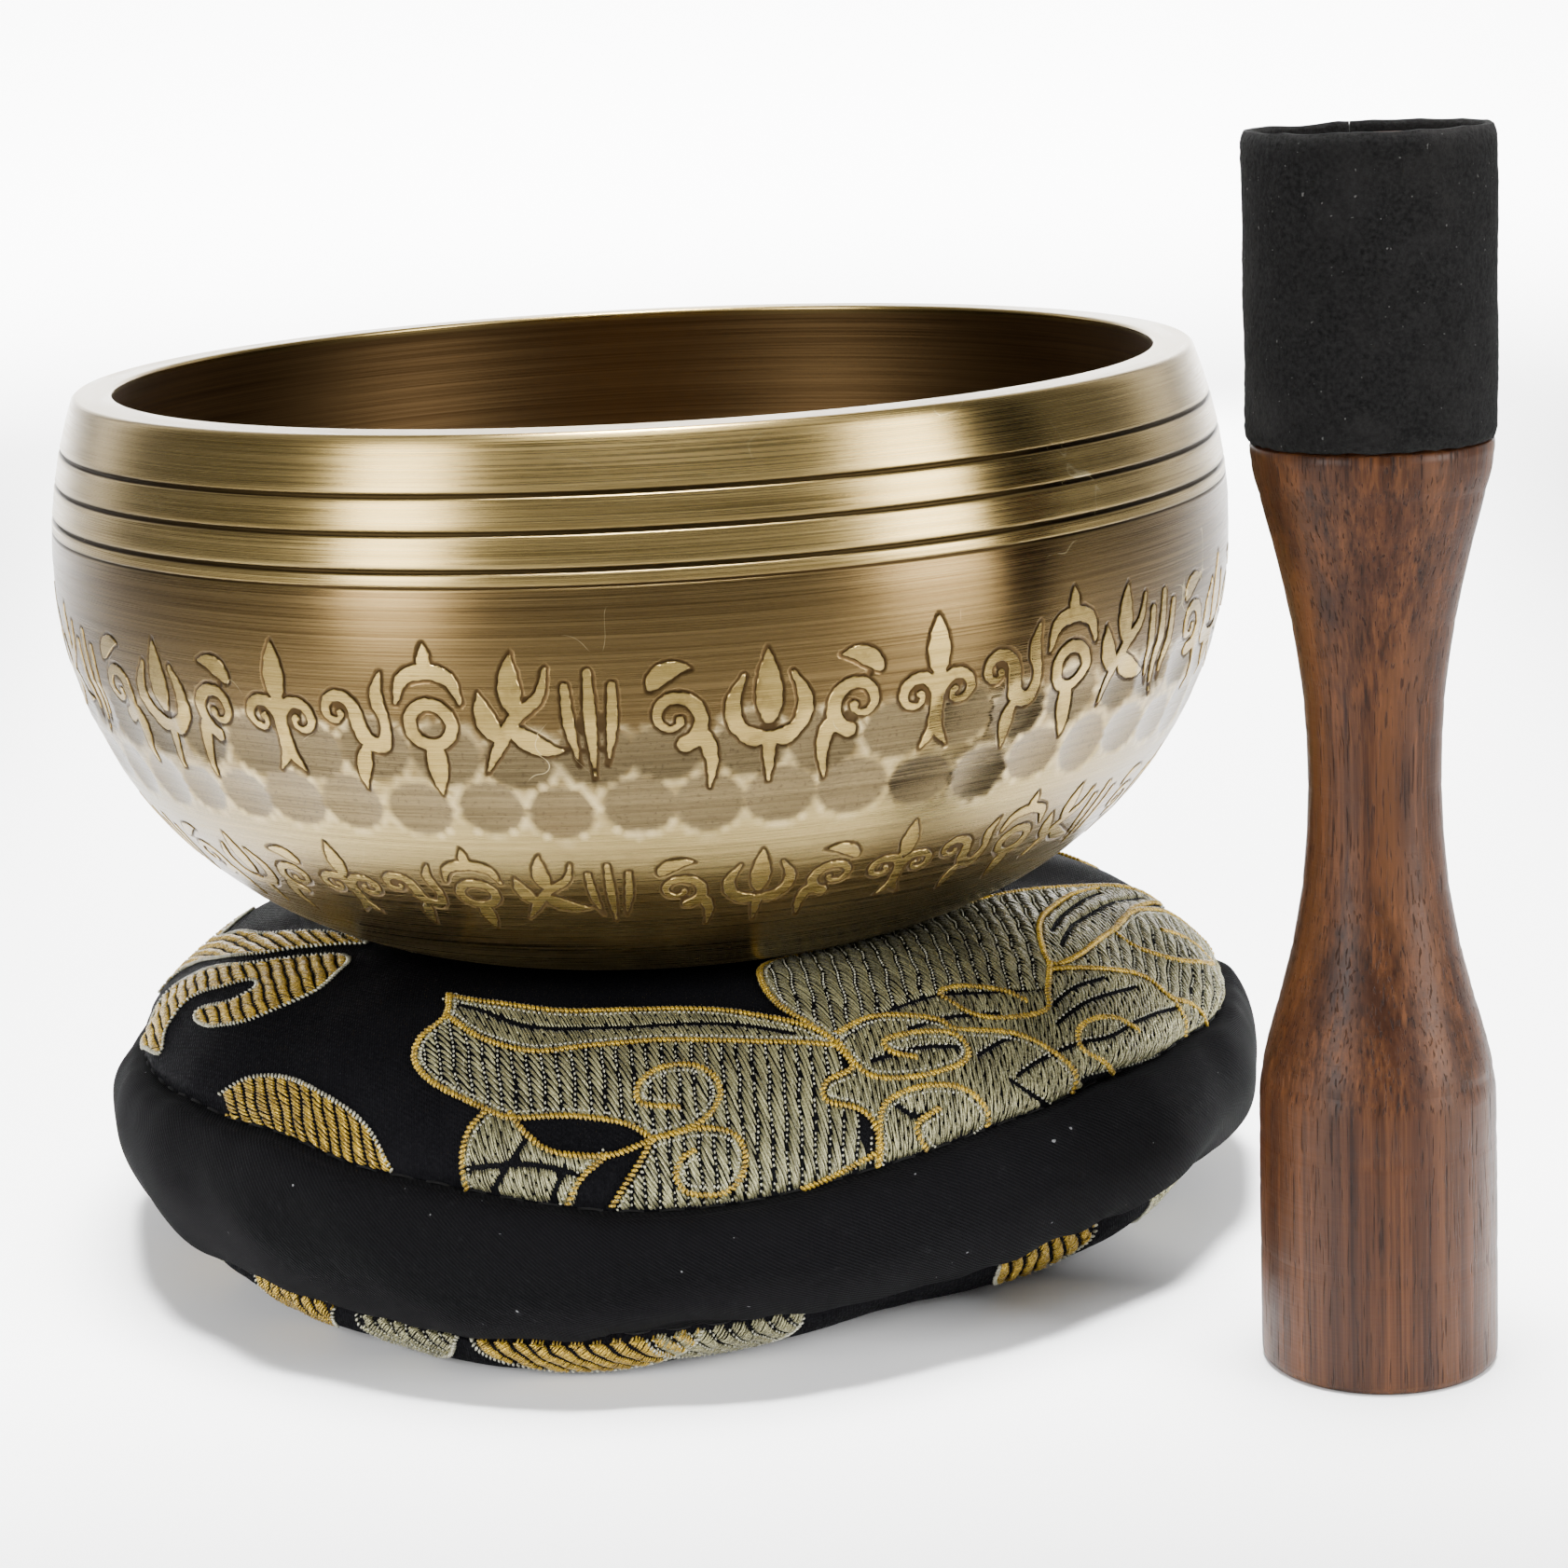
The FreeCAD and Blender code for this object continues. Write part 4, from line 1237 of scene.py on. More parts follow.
def covered_runs(bare):
    """(line, first, last) of each long enough stretch of the floats' lines that isn't bare."""
    runs = []
    for k, line in enumerate(bare):
        change = np.flatnonzero(np.diff(np.concatenate([[1], line.astype(int), [1]])))
        runs += [(k, start, stop - 1) for start, stop in zip(change[::2], change[1::2])
                 if stop - start >= SHORTEST_FLOAT]
    return runs


class Weave:
    """Brocade work on one panel: floats that fill shapes, cords and beads along lines."""

    def __init__(self, panel, seed):
        self.panel = panel
        self.draw = np.random.default_rng(seed)
        self.silver, self.gold = Bundle(seed + 1), Bundle(seed + 2)
        self.cord, self.white = Bundle(seed + 3), Bundle(seed + 4)

    def fill(self, bundle, outline, heading, spacing=0.29, twill=None, veins=(), lift=0.16,
             smooth=True, fan=0.0):
        """Floats across an outline. heading: degrees from the y axis, anticlockwise.

        twill is (heading of the gap rows, their spacing, gap); veins are lines left bare; fan
        turns the floats by so many degrees per millimetre across the shape.
        """
        if smooth:
            closed = outline + outline[:1]
            outline = [tuple(p) for p in line_through(closed, 5)]
        turn = math.radians(heading)
        c, s = math.cos(turn), math.sin(turn)
        flat = np.array(outline)
        u_all = flat[:, 0] * c + flat[:, 1] * s
        v_all = -flat[:, 0] * s + flat[:, 1] * c
        u = np.arange(u_all.min() + spacing / 2, u_all.max(), spacing)
        v = np.arange(v_all.min(), v_all.max() + FLOAT_CELL, FLOAT_CELL)
        uu, vv = np.meshgrid(u, v, indexing="ij")
        middle_u, middle_v = (u[0] + u[-1]) / 2, (v[0] + v[-1]) / 2
        lean = np.radians(fan) * (uu - middle_u)
        uu = uu - (vv - middle_v) * lean + 0.06 * np.sin(vv * 0.9 + uu * 1.7)
        x, y = uu * c - vv * s, uu * s + vv * c
        bare = ~is_inside(outline, x, y) | (np.hypot(x, y) > self.panel.edge - 0.15)
        if twill:
            across, pitch, gap = twill
            a = math.radians(across)
            phase = (x * math.cos(a) + y * math.sin(a)) / pitch + twill_wobble(x, y)
            bare |= (phase % 1) < gap / pitch
            if bundle is self.silver:
                self.gap_beads(outline, a, pitch, gap)
        else:
            stagger = 1.7 * (np.arange(len(u)) % 5)[:, None]
            bare |= (vv + stagger) % FLOAT_LENGTH < FLOAT_CELL
        for vein in veins:
            bare |= distance_to(line_through(vein), x, y) < VEIN_HALF_WIDTH
        self.lay(bundle, x, y, covered_runs(bare), (c, s), spacing, lift)

    def lay(self, bundle, x, y, runs, across, spacing, lift):
        """Lays one float along each run of the sampled places x, y."""
        t = np.linspace(0, 1, FLOAT_STEPS)
        index = np.array([[start + (stop - start) * q for q in t] for _, start, stop in runs])
        index = np.rint(index).astype(int)
        rows = np.array([run[0] for run in runs])[:, None]
        px, py = x[rows, index], y[rows, index]
        sway = self.draw.normal(0, 0.045, (len(runs), 1)) * np.sin(math.pi * t)
        px, py = px + sway * across[0], py + sway * across[1]
        points, normals = self.panel.at(px, py)
        arch = np.sin(math.pi * np.clip(t, 0.04, 0.96)) ** 0.6
        rise = (lift + self.draw.normal(0, 0.025, (len(runs), 1))) * arch - 0.07 * (1 - arch)
        half = spacing * 0.47 * self.draw.uniform(0.85, 1.1, len(runs))
        bundle.take(threads(points + normals * rise[:, :, None], normals, half, FLOAT_HEIGHT,
                            FLOAT_SWELL), FLOAT_STEPS * len(THREAD_SECTION))

    def gap_beads(self, outline, a, pitch, gap):
        """White binding points down the middle of each gap row of a twill fill."""
        flat = np.array(outline)
        reach = np.hypot(*np.ptp(flat, axis=0))
        centre = flat.mean(axis=0)
        first = math.floor((centre[0] * math.cos(a) + centre[1] * math.sin(a) - reach) / pitch)
        for k in range(first, first + int(2 * reach / pitch) + 2):
            across = (k + 0.5 * gap / pitch) * pitch
            down = np.arange(-reach, reach, BEAD_SPACING)
            down = down + (-centre[0] * math.sin(a) + centre[1] * math.cos(a))
            x = across * math.cos(a) - down * math.sin(a)
            y = across * math.sin(a) + down * math.cos(a)
            for _ in range(3):
                place = across - twill_wobble(x, y) * pitch
                x = place * math.cos(a) - down * math.sin(a)
                y = place * math.sin(a) + down * math.cos(a)
            keep = is_inside(outline, x, y) & (np.hypot(x, y) < self.panel.edge - 0.3)
            keep &= self.draw.random(len(x)) > 0.12
            if not keep.any():
                continue
            points, normals = self.panel.at(x[keep], y[keep])
            heading = unit(np.cross(normals, (1.0, 0.0, 0.0)))
            sizes = np.array(BINDING_BEAD) * self.draw.uniform(0.8, 1.2, (keep.sum(), 3))
            self.white.take(beads(points + normals * 0.12, heading, normals, sizes),
                            BEAD_POINTS)

    def chain(self, bundle, line, spacing, size, slant=0.0, lift=0.12, shift=0.0):
        """Beads along a line; slant turns each one, shift moves the chain to its left."""
        reach = reach_along(line)
        count = max(2, int(reach[-1] / spacing))
        t = np.linspace(0, reach[-1], count)
        x, y = (np.interp(t, reach, line[:, k]) for k in (0, 1))
        dx, dy = np.gradient(x), np.gradient(y)
        norm = np.hypot(dx, dy) + 1e-9
        x, y = x - dy / norm * shift, y + dx / norm * shift
        keep = np.hypot(x, y) < self.panel.edge - 0.1
        x, y, dx, dy = x[keep], y[keep], (dx / norm)[keep], (dy / norm)[keep]
        if len(x) < 2:
            return
        points, normals = self.panel.at(x, y)
        ahead, _ = self.panel.at(x + dx * 0.2, y + dy * 0.2)
        along_line = unit(ahead - points)
        side = np.cross(normals, along_line)
        turn = slant + self.draw.normal(0, 0.09, (len(x), 1))
        heading = along_line * np.cos(turn) + side * np.sin(turn)
        sizes = np.array(size) * self.draw.uniform(0.88, 1.12, (len(x), 3))
        # pressed flat where the bowl comes close
        rise = lift * np.clip((np.hypot(x, y) - PRESSED_REACH) / 8.0, 0.3, 1.0)[:, None]
        bundle.take(beads(points + normals * rise, heading, normals, sizes), BEAD_POINTS)

    def leaf_edge(self, points, lift, steps=10):
        """Slanted white beads round a gold shape."""
        line = line_through(points, steps)
        self.chain(self.white, line, 0.5, LEAF_BEAD, slant=0.5, lift=lift)

    def outline(self, points, white=0):
        """A gold cord of slanted stitches; white is 1 or -1 for a row of white beads beside."""
        line = line_through(points, 10)
        self.chain(self.cord, line, 0.43, CORD_STITCH, slant=0.55, lift=0.2)
        if white:
            self.chain(self.white, line, 0.46, EDGE_BEAD, lift=0.14, shift=0.62 * white)


def turned_by(points, degrees, mirror=False):
    """Flat points turned round the panel's middle."""
    a = math.radians(degrees)
    c, s = math.cos(a), math.sin(a)
    sign = -1 if mirror else 1
    return [(sign * x * c - y * s, sign * x * s + y * c) for x, y in points]


# The brocade's shapes, in flat coordinates. They run past the seam, where the cloth was cut.
TWILL_PETAL = [(-20, -40.5), (-22.5, -43), (-22.6, -46), (-20, -49), (-15.5, -52), (-13, -53),
               (-8, -53), (-3, -54), (-0.5, -55.7), (-2, -58.5), (-5, -63), (6, -66), (23, -61),
               (21, -54.5), (19.5, -52.8), (16.2, -52), (16, -50.2), (18.5, -48.5), (17, -46.3),
               (12, -46), (6, -45.4), (0, -45.2), (-6, -45.7), (-11, -46.2), (-16.5, -44)]
SATIN_PETAL = [(-19.8, -37), (-16, -39.4), (-10, -40.8), (-3, -40.2), (5, -40.6), (10, -42.2),
               (15, -44.4), (17, -46), (12, -45.6), (6, -45), (0, -44.8), (-6, -45.2),
               (-11, -45.8), (-16.2, -43.6), (-19.8, -40)]
SMALL_PETAL = [(-16, -52), (-18, -53.5), (-19.2, -56), (-19.5, -60), (-14, -64), (-9.5, -62.5),
               (-7.2, -58.6), (-5, -56.9), (-9.7, -56.2), (-12, -54.6), (-13.5, -52.8)]
PETAL_CURL = [(-0.3, -55.4), (4, -54.1), (6, -51.7), (5.5, -49.4), (3.2, -48.1), (0.2, -48.6),
              (-1.6, -50.3), (-1.3, -52), (2.2, -52.5)]
FLOWER_SHADE = [(17, -46), (11, -40), (10, -32), (15, -25), (23, -18), (31, -12.5), (38, -7),
                (44, -1.5), (49, 3), (53, 6), (45, -2), (40.4, -11), (37.6, -21.4), (38, -29.5),
                (38, -34), (33, -36), (27, -38.3), (21, -42.3)]
FLOWER_TIP = [(53, 5.8), (48.6, -5.4), (45.2, -16.5), (41.6, -25.4), (38.2, -29.6),
              (37.8, -21.4), (40.6, -11), (45, -2)]
ROUND_PETAL = [(45.3, -16.4), (47, -10.5), (52.5, 0.5), (57, 4.8), (63, 4), (66, -10),
               (62, -21), (56, -23.5), (52.5, -23.3), (49.2, -23), (44.5, -26.2), (38.6, -30.6),
               (41.8, -25.6)]
FLOWER_FAN = [(17.2, -46), (21, -42.6), (27, -38.6), (33, -36.3), (38.2, -34), (38.6, -31.2),
              (44.5, -26.4), (49.2, -23.2), (52.5, -23.6), (60, -24), (58, -36), (48, -47),
              (37, -56), (23, -62), (21.3, -54.3), (19.6, -52.4), (16.6, -51.8), (16.4, -50.3),
              (18.8, -48.4)]
FAN_VEINS = [[(38.7, -36), (41, -32), (44, -28)], [(39.3, -38.2), (43, -32.5), (48, -26)],
             [(31, -45), (33.2, -42.6), (35, -41.2)],
             [(35.5, -45.6), (38, -42.8), (42.3, -39.2), (45.3, -36.6), (48, -32), (53.5, -24)],
             [(34.7, -46.4), (38.2, -47), (41.5, -46.6)],
             [(43.2, -42.9), (48, -38.6), (53, -32)], [(24, -43.6), (28, -41.2), (33, -39)],
             [(20.5, -47.5), (25, -45.6), (29, -44.6)], [(23.2, -51.6), (25, -52.4), (27, -52)]]
LEFT_TRUNK = [(-58, 1.8), (-56, 6.5), (-51.5, 8.5), (-46, 10.5), (-47.5, 6), (-49, 2.9),
              (-46, -1.5), (-41.7, -7.6), (-34.5, -11.2), (-30, -15.4), (-37, -16), (-41.5, -15.4),
              (-45.8, -11.3), (-51, -3.8), (-54, 0)]
LEFT_HOOK = [(-58.6, -15), (-58.2, -9.4), (-55, -6.2), (-49.5, -10.7), (-43.3, -16.8), (-39, -18.4),
             (-33.3, -19.5), (-31, -22.5), (-32, -26.4), (-34.5, -29.6), (-40.8, -30.7),
             (-45.7, -28), (-48.4, -24), (-48.2, -22), (-44, -24.8), (-41, -24.4), (-41.5, -22),
             (-44.7, -20.6), (-49.6, -18), (-53.1, -19.7), (-54.8, -22.4)]
LEFT_LEAF = [(-46, -38.2), (-42.1, -38.6), (-38.2, -41), (-33.8, -45), (-30.3, -48.1),
             (-28.3, -51), (-27, -55), (-28, -60), (-38, -54), (-46, -45)]

# the gold cords' lines, and the side of each on which it has white beads (0 for neither)
TOP_CORDS = (
    (SATIN_PETAL[:8], -1),
    ([(-19.8, -40.3), (-16.4, -44), (-11.3, -46.1), (-5.6, -45.6), (0.3, -45.1),
      (6, -45.3), (11.8, -45.9), (17, -46.3)], 1),
    ([(-19.6, -37), (-19.8, -40.4), (-22.3, -42.6), (-22.8, -45.4), (-20.6, -48.6),
      (-15.6, -52), (-13, -52.9), (-8, -53), (-3, -53.8), (-0.3, -55.4)], 1),
    ([(17, -46.2), (18.6, -48.5), (16.1, -50.2), (16.2, -52), (19.5, -52.6),
      (21.3, -54.2), (22, -58.5), (22.5, -63)], 1),
    (PETAL_CURL, 1),
    ([(-0.3, -55.4), (4, -54.6), (7.1, -55), (8.4, -56.7), (8.1, -58.9), (6.3, -60.3),
      (2.9, -60.2), (1.8, -58.8), (2.4, -57.3), (3.6, -56.6)], -1),
    ([(-13.8, -52.4), (-12.2, -54.6), (-9.7, -56.3), (-4.8, -56.7), (-0.4, -55.5)], 0),
    ([(-16, -51.8), (-18, -53.4), (-19.1, -55.8), (-19.3, -59), (-18.5, -62)], 1),
    ([(-4.8, -56.7), (-7.2, -58.5), (-9.2, -61)], -1),
    ([(-0.6, -55.8), (-1.9, -57.8), (-4.6, -61)], 1),
    ([(12.2, -60.6), (16.9, -58.9), (21.6, -56.4)], 0),
    ([(17, -46), (11.3, -40), (10.3, -32), (15.2, -25.3), (23, -18.4), (31, -12.9),
      (38, -7.4), (44, -2), (49, 2.6), (53, 5.9)], -1),
    ([(53, 5.9), (48.6, -5.3), (45.2, -16.5), (41.6, -25.4), (38.2, -29.6),
      (37.6, -21.4), (40.4, -11), (44.8, -2.2)], 0),
    ([(45.3, -16.4), (47, -10.5), (52.4, 0.6), (57.2, 4.7), (62, 4)], -1),
    ([(38.4, -30.8), (44.5, -26.2), (49.2, -23), (52.6, -23.2), (55.8, -21), (62, -20)], 0),
    ([(45.4, -16.4), (47.8, -17.6), (52.6, -15), (56.2, -11), (58, -7), (56.4, -4.6),
      (53.2, -7.8), (51, -10)], 0),
    ([(17.2, -44.8), (20.8, -42.4), (26.6, -41.9), (28.8, -42.6), (34.6, -41),
      (39.3, -41.6), (42.2, -43.2), (42.6, -47)], -1),
    ([(17.2, -45.8), (19, -48.2), (21, -49.2), (25.2, -48.6), (29, -46.8), (30, -44.9),
      (28.3, -43.3), (24.2, -44.1), (21.7, -45.3), (22.4, -46.4), (24.8, -46.7)], 1),
    ([(22, -57.4), (21.7, -52.6), (23.4, -50.6), (26.5, -49.3), (29.7, -49.1),
      (32.2, -50.3), (33, -52.1), (31.2, -54), (28.4, -55.4), (26.3, -54.8),
      (25.5, -53.2), (27.5, -51.4)], -1),
    ([(38.2, -29.6), (38, -34.3), (38, -37), (34.8, -39), (30.6, -40.1), (27.1, -38.4),
      (29.1, -36.6), (33.3, -35.9), (35.8, -36.6)], 0),
    ([(48.2, -33.3), (45.5, -33.8), (42.3, -36.7), (41.6, -39), (43.1, -40.4),
      (48.2, -39.5)], 0),
    ([(52.6, -23.2), (54.8, -25), (56.5, -28)], 0))


def weave_top(weave):
    """The flower at the front right, the scrolls at the left, and the same again behind."""
    w = weave
    w.fill(w.silver, TWILL_PETAL, 29, spacing=0.34, twill=(4, 1.4, 0.34), fan=-0.6)
    w.fill(w.silver, SATIN_PETAL, 24, spacing=0.26, lift=0.13,
           veins=[[(-18.5, -39), (-12, -43), (-4, -43), (6, -42.8), (13, -44.8)]])
    w.fill(w.silver, SMALL_PETAL, 10, spacing=0.26,
           veins=[[(-19, -56.8), (-14.4, -57), (-11.4, -57.3), (-7.5, -58.4)],
                  [(-12.3, -54.8), (-14.4, -57), (-17, -59.6)], [(-9, -58), (-11, -61)]])
    w.fill(w.silver, FLOWER_SHADE, 34, twill=(6, 1.5, 0.32))
    w.fill(w.silver, FLOWER_TIP, 30, spacing=0.26,
           veins=[[(39.5, -25), (42, -16), (46.5, -6), (50, 1)],
                  [(38.8, -22), (41.2, -13), (45, -4)]])
    w.fill(w.silver, ROUND_PETAL, 34, twill=(6, 1.5, 0.32))
    w.fill(w.silver, FLOWER_FAN, 16, spacing=0.25, veins=FAN_VEINS, lift=0.18)
    for vein in FAN_VEINS:
        w.chain(w.white, line_through(vein), 0.6, VEIN_BEAD, shift=0.24)
    for points, white in TOP_CORDS:
        w.outline(points, white)
    for turn in (0, -88):
        scroll_group(w, turn)
    far_petal(w, 138)
    for turn in (15, 162, 258):
        shape = turned_by([(0.52 * x, 0.52 * y) for x, y in LEFT_HOOK], turn)
        w.fill(w.gold, shape, turn + 50, twill=(turn, 1.5, 0.3), lift=0.08)
        w.chain(w.white, line_through(shape + shape[:1]), 0.46, HOOK_BEAD, slant=0.35,
                lift=0.06)


def scroll_group(w, turn):
    """Gold scrolls and a leaf, edged with white."""
    for shape, heading in ((LEFT_TRUNK, 62), (LEFT_HOOK, 50), (LEFT_LEAF, 38)):
        shape = turned_by(shape, turn)
        tilt = turn + heading
        w.fill(w.gold, shape, tilt, spacing=0.28, twill=(tilt - 38, 1.35, 0.24), lift=0.17)
    edges = (LEFT_TRUNK + LEFT_TRUNK[:1], LEFT_HOOK + LEFT_HOOK[:1], LEFT_LEAF[:7])
    for edge in edges:
        w.leaf_edge(turned_by(edge, turn), 0.14)


def far_petal(w, turn):
    """A petal with a curl, for the parts of the panel away from the flower."""
    petal = turned_by(TWILL_PETAL, turn)
    w.fill(w.silver, petal, 4 + turn, spacing=0.34, twill=(turn + 9, 1.6, 0.3))
    small = turned_by(SMALL_PETAL, turn)
    w.fill(w.silver, small, 10 + turn, spacing=0.3)
    w.outline(petal + petal[:1], 0)
    w.outline(small + small[:1], 0)
    w.outline(turned_by(PETAL_CURL, turn), 1)


def weave_base(weave):
    """Gold and silver leaves that cross the base panel's rim, and scrolls further in."""
    w = weave
    rim = ((-160, 13, True), (-133, 8, True), (-117, 7, False), (-98, 13, True), (-84, 9, False),
           (-46, 8, True), (-20, 10, False), (12, 12, True), (48, 10, False), (80, 12, True),
           (118, 11, False), (150, 12, True))
    for middle, half_span, is_gold in rim:
        leaf_shape = []
        for k in range(9):
            t = k / 8
            angle = math.radians(middle + half_span * (2 * t - 1))
            radius = 58 - 11 * math.sin(math.pi * t) ** 0.6
            leaf_shape.append((radius * math.cos(angle), radius * math.sin(angle)))
        bundle = w.gold if is_gold else w.silver
        w.fill(bundle, leaf_shape, middle + 90 + 35, spacing=0.27, smooth=False,
               twill=(middle + 60, 1.6, 0.3))
        w.leaf_edge(leaf_shape, 0.12, steps=6)
    for turn, mirror in ((40, False), (160, False), (280, True)):
        shape = turned_by([(0.72 * x, 0.72 * y) for x, y in LEFT_HOOK], turn, mirror)
        w.fill(w.gold, shape, turn, spacing=0.3, lift=0.06, twill=(turn - 50, 1.6, 0.3))


# ---------------------------------------------------------------- the cushion's pieces

def cloth_piece(name, panel, material, replaces, flip=False):
    """A panel as cloth with thickness, its outer face on the panel's surface."""
    rows, columns = panel.grid.shape[:2]
    outer = panel.grid.reshape(-1, 3)
    inner = (panel.grid - panel.normals * CLOTH).reshape(-1, 3)
    count = len(outer)
    faces = grid_faces(rows, columns, flip)
    faces += [[count + i for i in face] for face in grid_faces(rows, columns, not flip)]
    edges = [rows - 1] if np.ptp(panel.grid[0, :, 0]) < 0.1 else [0, rows - 1]
    for row in edges:
        for c in range(columns):
            n = (c + 1) % columns
            a, b = row * columns + c, row * columns + n
            quad = [a, count + a, count + b, b]
            if (row == 0) != flip:
                quad = quad[::-1]
            faces.append(quad)
    points = np.vstack([outer, inner])
    reach = np.repeat(panel.reach, columns)
    around = np.tile(np.arange(columns) / columns * TURN * SEAM_RADIUS, rows)
    welded, joined, first = weld(points, faces)
    piece = make_mesh(name, welded, joined, "cushion", material, replaces=replaces)
    add_attribute(piece, "around", np.tile(around, 2)[first])
    add_attribute(piece, "across", np.tile(reach, 2)[first])
    return piece


FILLING_GAP = 1.4
STITCH_STEPS = 5
SEAM_THREAD, HAND_THREAD = 0.14, 0.2


def seam_stitches(name, line, outward, count, material, replaces, skip=None):
    """Short lengths of thread along a seam; skip is a range of angles left out, in degrees."""
    bundle = Bundle(51)
    columns = len(line)
    starts = np.arange(count) * columns / count
    t = np.linspace(0, 0.62 * columns / count, STITCH_STEPS)
    place = starts[:, None] + t
    low = place.astype(int)
    part = (place - low)[:, :, None]
    points = (1 - part) * line[low % columns] + part * line[(low + 1) % columns]
    out = outward[low % columns]
    keep = np.ones(count, bool)
    if skip:
        angle = np.degrees(np.arctan2(points[:, 2, 1], points[:, 2, 0]))
        keep = (angle < skip[0]) | (angle > skip[1])
    lift = np.array([-0.1, 0.05, 0.08, 0.05, -0.1])[None, :, None]
    bundle.stitch((points + out * (lift + 0.06))[keep], out[keep], SEAM_THREAD)
    bundle.piece(name, "thread", material, replaces)


def make_cushion(materials):
    """The stuffed cushion: filling, three panels of cloth, brocade and stitching."""
    top, band, base = make_panels()
    cloth_piece("cushion_top_cloth", top, materials["satin"], ["cushion_top_panel"])
    cloth_piece("cushion_band_cloth", band, materials["twill"],
                ["cushion_side_band"])
    cloth_piece("cushion_base_cloth", base, materials["satin"],
                ["cushion_bottom_panel"], flip=True)

    # the filling is the cover's inside, a little smaller
    inset = CLOTH + FILLING_GAP
    rows = [panel.grid[::4, ::4] - panel.normals[::4, ::4] * inset for panel in (top, band)]
    rows.append(base.grid[::-4, ::4] - base.normals[::-4, ::4] * inset)
    stack = np.vstack([rows[0][:-1], rows[1][1:-1], rows[2][1:]])
    stack[0] = stack[0].mean(axis=0)
    stack[-1] = stack[-1].mean(axis=0)
    stack[:, :, 2] = np.maximum(stack[:, :, 2], inset)
    welded, faces, _ = weld(stack.reshape(-1, 3), grid_faces(len(stack), stack.shape[1]))
    stuffing = make_mesh("cushion_stuffing", welded, faces, "cushion",
                         materials["filling"], replaces=["cushion_filling"])

    for name, work, weave_panel in (("top", Weave(top, 61), weave_top),
                                    ("base", Weave(base, 71), weave_base)):
        weave_panel(work)
        for label, bundle, finish in (("silver_floats", work.silver, "silver"),
                                      ("gold_floats", work.gold, "gold"),
                                      ("gold_cord", work.cord, "gold"),
                                      ("white_beads", work.white, "beads")):
            if bundle.count:
                bundle.piece(name + "_" + label, "brocade", materials[finish])

    seam_stitches("top_seam_stitches", band.grid[0], unit(band.normals[0] + top.normals[-1]),
                  96, materials["thread"], ["top_seam_thread"])
    seam_stitches("base_seam_stitches", band.grid[-1],
                  unit(band.normals[-1] + base.normals[-1]), 92, materials["thread"],
                  ["bottom_seam_thread"], skip=(73, 107))
    closing_stitches(band, base, materials["thread"])
    join_stitches(band, materials["thread"])


def closing_stitches(band, base, thread):
    """The slanted hand stitches that close the gap through which the cushion was filled."""
    bundle = Bundle(55)
    columns = band.grid.shape[1]
    t = np.linspace(0, 1, STITCH_STEPS)[:, None]
    bow = np.sin(math.pi * t) * 0.35 + 0.12
    runs, normals = [], []
    for k in range(9):
        angle = math.radians(90 - 15 + 3.75 * k)
        c = int(round(angle / TURN * columns)) % columns
        lower, upper = base.grid[-5, (c + 3) % columns], band.grid[-4, (c - 2) % columns]
        normal = unit(band.normals[-1, c] + base.normals[-1, c])
        runs.append(lower * (1 - t) + upper * t + normal * bow)
        normals.append(np.tile(normal, (STITCH_STEPS, 1)))
    bundle.stitch(np.array(runs), np.array(normals), HAND_THREAD)
    bundle.piece("closing_hand_stitches", "thread", thread, ["closing_stitches"])


def join_stitches(band, thread):
    """The hand stitches up the join of the band's two ends, at the back."""
    bundle = Bundle(56)
    back = band.grid.shape[1] // 4
    lift = np.array([0.0, 0.16, 0.2, 0.16, 0.0])[:, None]
    runs, normals = [], []
    for middle in (10, 18, 26, 34):
        rows = range(middle - 2, middle + 3)
        runs.append(band.grid[rows, back] + band.normals[rows, back] * lift)
        normals.append(band.normals[rows, back])
    bundle.stitch(np.array(runs), np.array(normals), HAND_THREAD)
    bundle.piece("band_join_hand_stitches", "thread", thread, ["band_join_stitches"])


def satin_material():
    """Black brocade ground: fine satin weave with a dull sparkle."""
    n = Nodes("black_satin_ground")
    place = n.position(IN_MM)
    weave = n.bands(place, 0.9, 1.2, direction="DIAGONAL")
    weft = n.bands(place, 1.3, 0.8, detail=1.0)
    grain = n.noise(place, scale=3.2)
    cloud = n.noise(place, scale=0.09, detail=3.0)
    base = n.mix(grain, (0.001, 0.001, 0.0013), (0.0055, 0.0055, 0.0065))
    base = n.mix(n.between(cloud, 0.4, 0.7, 0, 0.4), base, (0.006, 0.006, 0.007))
    rough = n.between(grain, 0.3, 0.75, 0.85, 0.6)
    n.bump((n.times(weave, weft), 0.6, 0.00012), (grain, 0.5, 0.0001))
    n.set(Specular_IOR_Level=0.02)
    return n.out(Base_Color=base, Roughness=rough)


